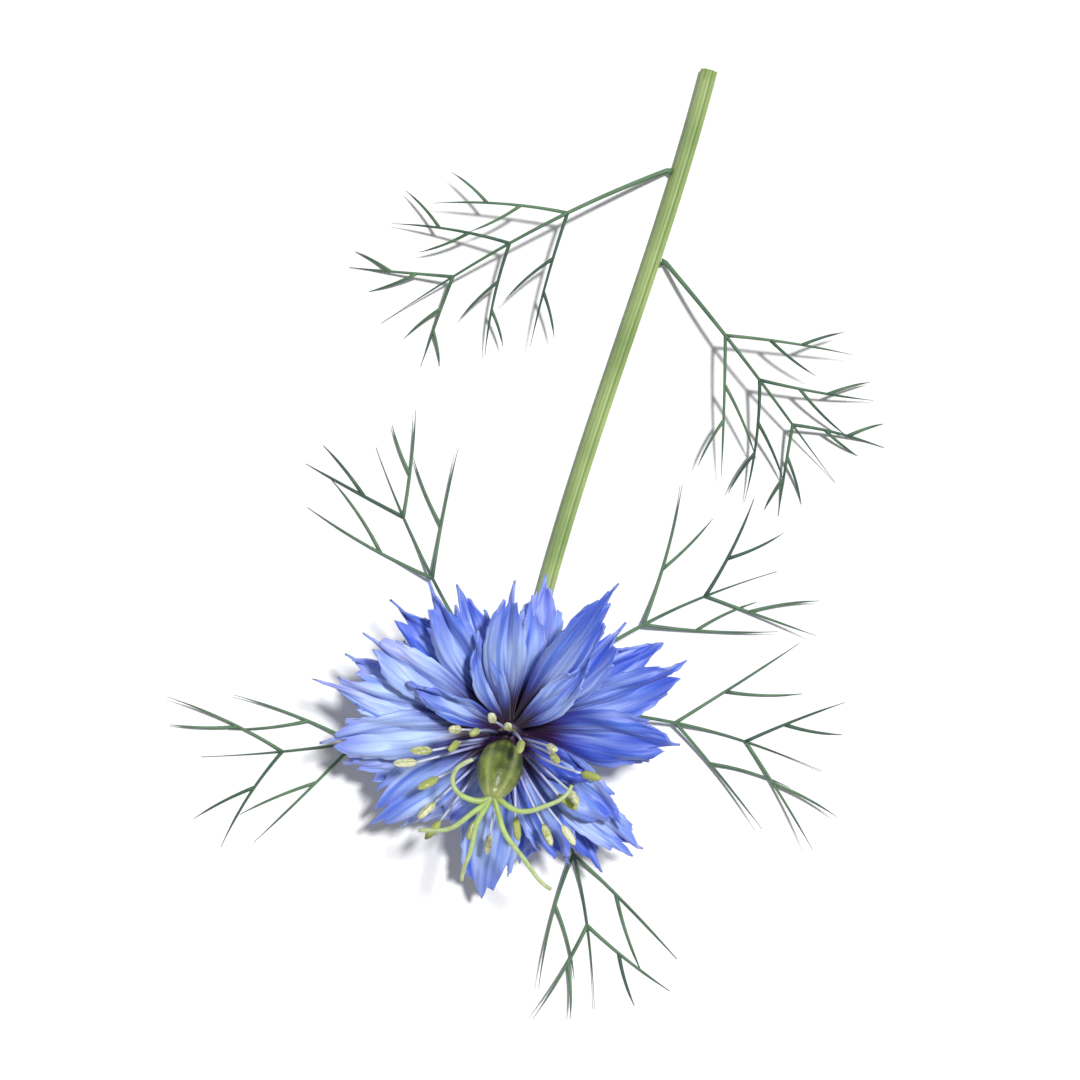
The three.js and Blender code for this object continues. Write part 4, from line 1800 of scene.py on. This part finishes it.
@dataclass
class StemLeaves(Foliage):
    """The thread-cut leaves on the lying stem."""

    places: tuple[FrondPlace, ...] = (FrondPlace(-38, 31, 21, 34), FrondPlace(-142, 36, 24, 44))
    nodes: tuple[float, ...] = (0.34, 0.54, 0.74)
    segment: float = 15.0
    angle: float = 42.0
    forks: tuple[Fork, ...] = (Fork(at=0.35, side=-1, share=0.5), Fork(at=0.6, side=1, share=0.38))
    foot_out: float = 0.25
    foot_rise: float = 0.1
    sunk: float = 0.23
    arch: float = 5.0
    droop: float = 0.01

    def frond(self, number: int, place: FrondPlace) -> bpy.types.Object:
        """Build one leaf, that arches from the stem's side to the floor.

        Args:
            number: Its number, from 1.
            place: Where it grows.

        Returns:
            The leaf as one piece.
        """
        ahead, aside = Head().axes(math.radians(place.heading))
        side = math.copysign(1, ahead.x)
        off = side * (self.stem.crest + self.gap + self.foot_out)
        start = self.stem.lying(place.at) + Vector((off, 0, self.foot_rise))
        base = start - Vector((side * (self.gap + self.sunk), 0, 0))

        def lay(along: float, across: float) -> Vector:
            """Find the place of a point of the flat pattern.

            Args:
                along: Millimetres along the frond.
                across: Millimetres across it.

            Returns:
                The place, in millimetres.
            """
            s = min(along / place.reach, 1.0)
            height = start.z * (1 - s) + self.arch * math.sin(math.pi * s) * (1 - s / 2)
            at = start + ahead * along + aside * across
            at.z = height - self.droop * across * across
            return at

        name = f"leaf_threads_{number}"
        return self.pattern(place).build(name, GreenPart.LEAF, base, lay)


# ---- Stage ----


@dataclass
class Stage:
    """Pale floor, soft light and a camera straight above the flower."""

    centre: Pair = (-2.0, 0.5)
    frame_width: float = 121.0
    lens: float = 85.0
    sensor: float = 36.0
    near: float = 10.0
    roll: float = 14.7
    floor_half: float = 1500.0
    sun_strength: float = 3.2
    sun_angle: float = 6.0
    sun_from: tuple[float, float, float] = (0.19, 0.3, 1.0)
    sky_strength: float = 0.28

    def floor(self) -> None:
        """Lay the floor."""
        half = self.floor_half
        skin = Skin()
        skin.sheet(1, 1, lambda u, v: Vector((lerp(-half, half, u), lerp(-half, half, v), 0)))
        piece = skin.piece("floor", FloorFinish().build())

    def lights(self) -> None:
        """Set a soft key light and an even sky."""
        data = bpy.data.lights.new("key", "SUN")
        data.energy = self.sun_strength
        data.angle = math.radians(self.sun_angle)
        key = linked("key", data)
        key.rotation_euler = Vector(self.sun_from).to_track_quat("Z", "Y").to_euler()
        world = bpy.data.worlds.new("sky")
        world.use_nodes = True
        sky = world.node_tree.nodes["Background"]
        sky.inputs["Color"].default_value = (1.0, 1.0, 1.0, 1.0)
        sky.inputs["Strength"].default_value = self.sky_strength
        bpy.context.scene.world = world

    def camera(self) -> None:
        """Hang the camera over the flower."""
        data = bpy.data.cameras.new("camera")
        data.lens = self.lens
        data.sensor_width = self.sensor
        data.clip_start = self.near * MM
        camera = linked("camera", data)
        height = self.frame_width / self.sensor * self.lens
        camera.location = Vector((*self.centre, height)) * MM
        camera.rotation_euler = (0.0, 0.0, math.radians(self.roll))
        bpy.context.scene.camera = camera

    def build(self) -> None:
        """Build the whole stage."""
        self.floor()
        self.lights()
        self.camera()
        bpy.context.scene.view_settings.view_transform = "Standard"


# ---- Assembly ----


@dataclass
class Flower:
    """The whole cut flower."""

    gap: float = 0.3
    stem: Stem = field(default_factory=Stem)
    # Radius at the foot, radius at the top, and height, of what carries the sepals and the stamens
    sepal_cone: tuple[float, float, float] = (2.1, 1.6, 3.8)
    stamen_cone: tuple[float, float, float] = (1.4, 1.2, 1.1)

    def build(self) -> None:
        """Build every piece from the stem upwards and settle it on the part."""
        settle(self.stem.build(), "stem", "stem")
        for i, bract in enumerate(Involucre(self.stem, self.gap).build()):
            settle(bract, "foliage", f"bract_{i + 1}")
        for i, leaf in enumerate(StemLeaves(self.stem, self.gap).build()):
            settle(leaf, "foliage", f"leaf_{i + 1}")
        head = self.stem.head
        sepal_core = Core(self.stem.seat + head.up * self.gap, head, *self.sepal_cone)
        receptacle = Receptacle(sepal_core, self.stem.seat_radius, self.gap)
        settle(receptacle.build(), "sepals", "sepals")
        settle(Corolla(sepal_core).build(), "sepals", "sepals")
        stamen_foot = sepal_core.at(sepal_core.height + self.gap)
        stamen_core = Core(stamen_foot, head, *self.stamen_cone)
        settle(Stamens(stamen_core).build(), "stamens", "stamens")
        pistil_foot = stamen_core.at(stamen_core.height + self.gap)
        settle(Pistil(pistil_foot).build(), "pistil", "pistil")


def main() -> None:
    """Build the flower and its stage."""
    logging.basicConfig(level=logging.INFO, format="%(name)s: %(message)s")
    Flower().build()
    Stage().build()
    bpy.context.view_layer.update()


if __name__ == "__main__":
    main()
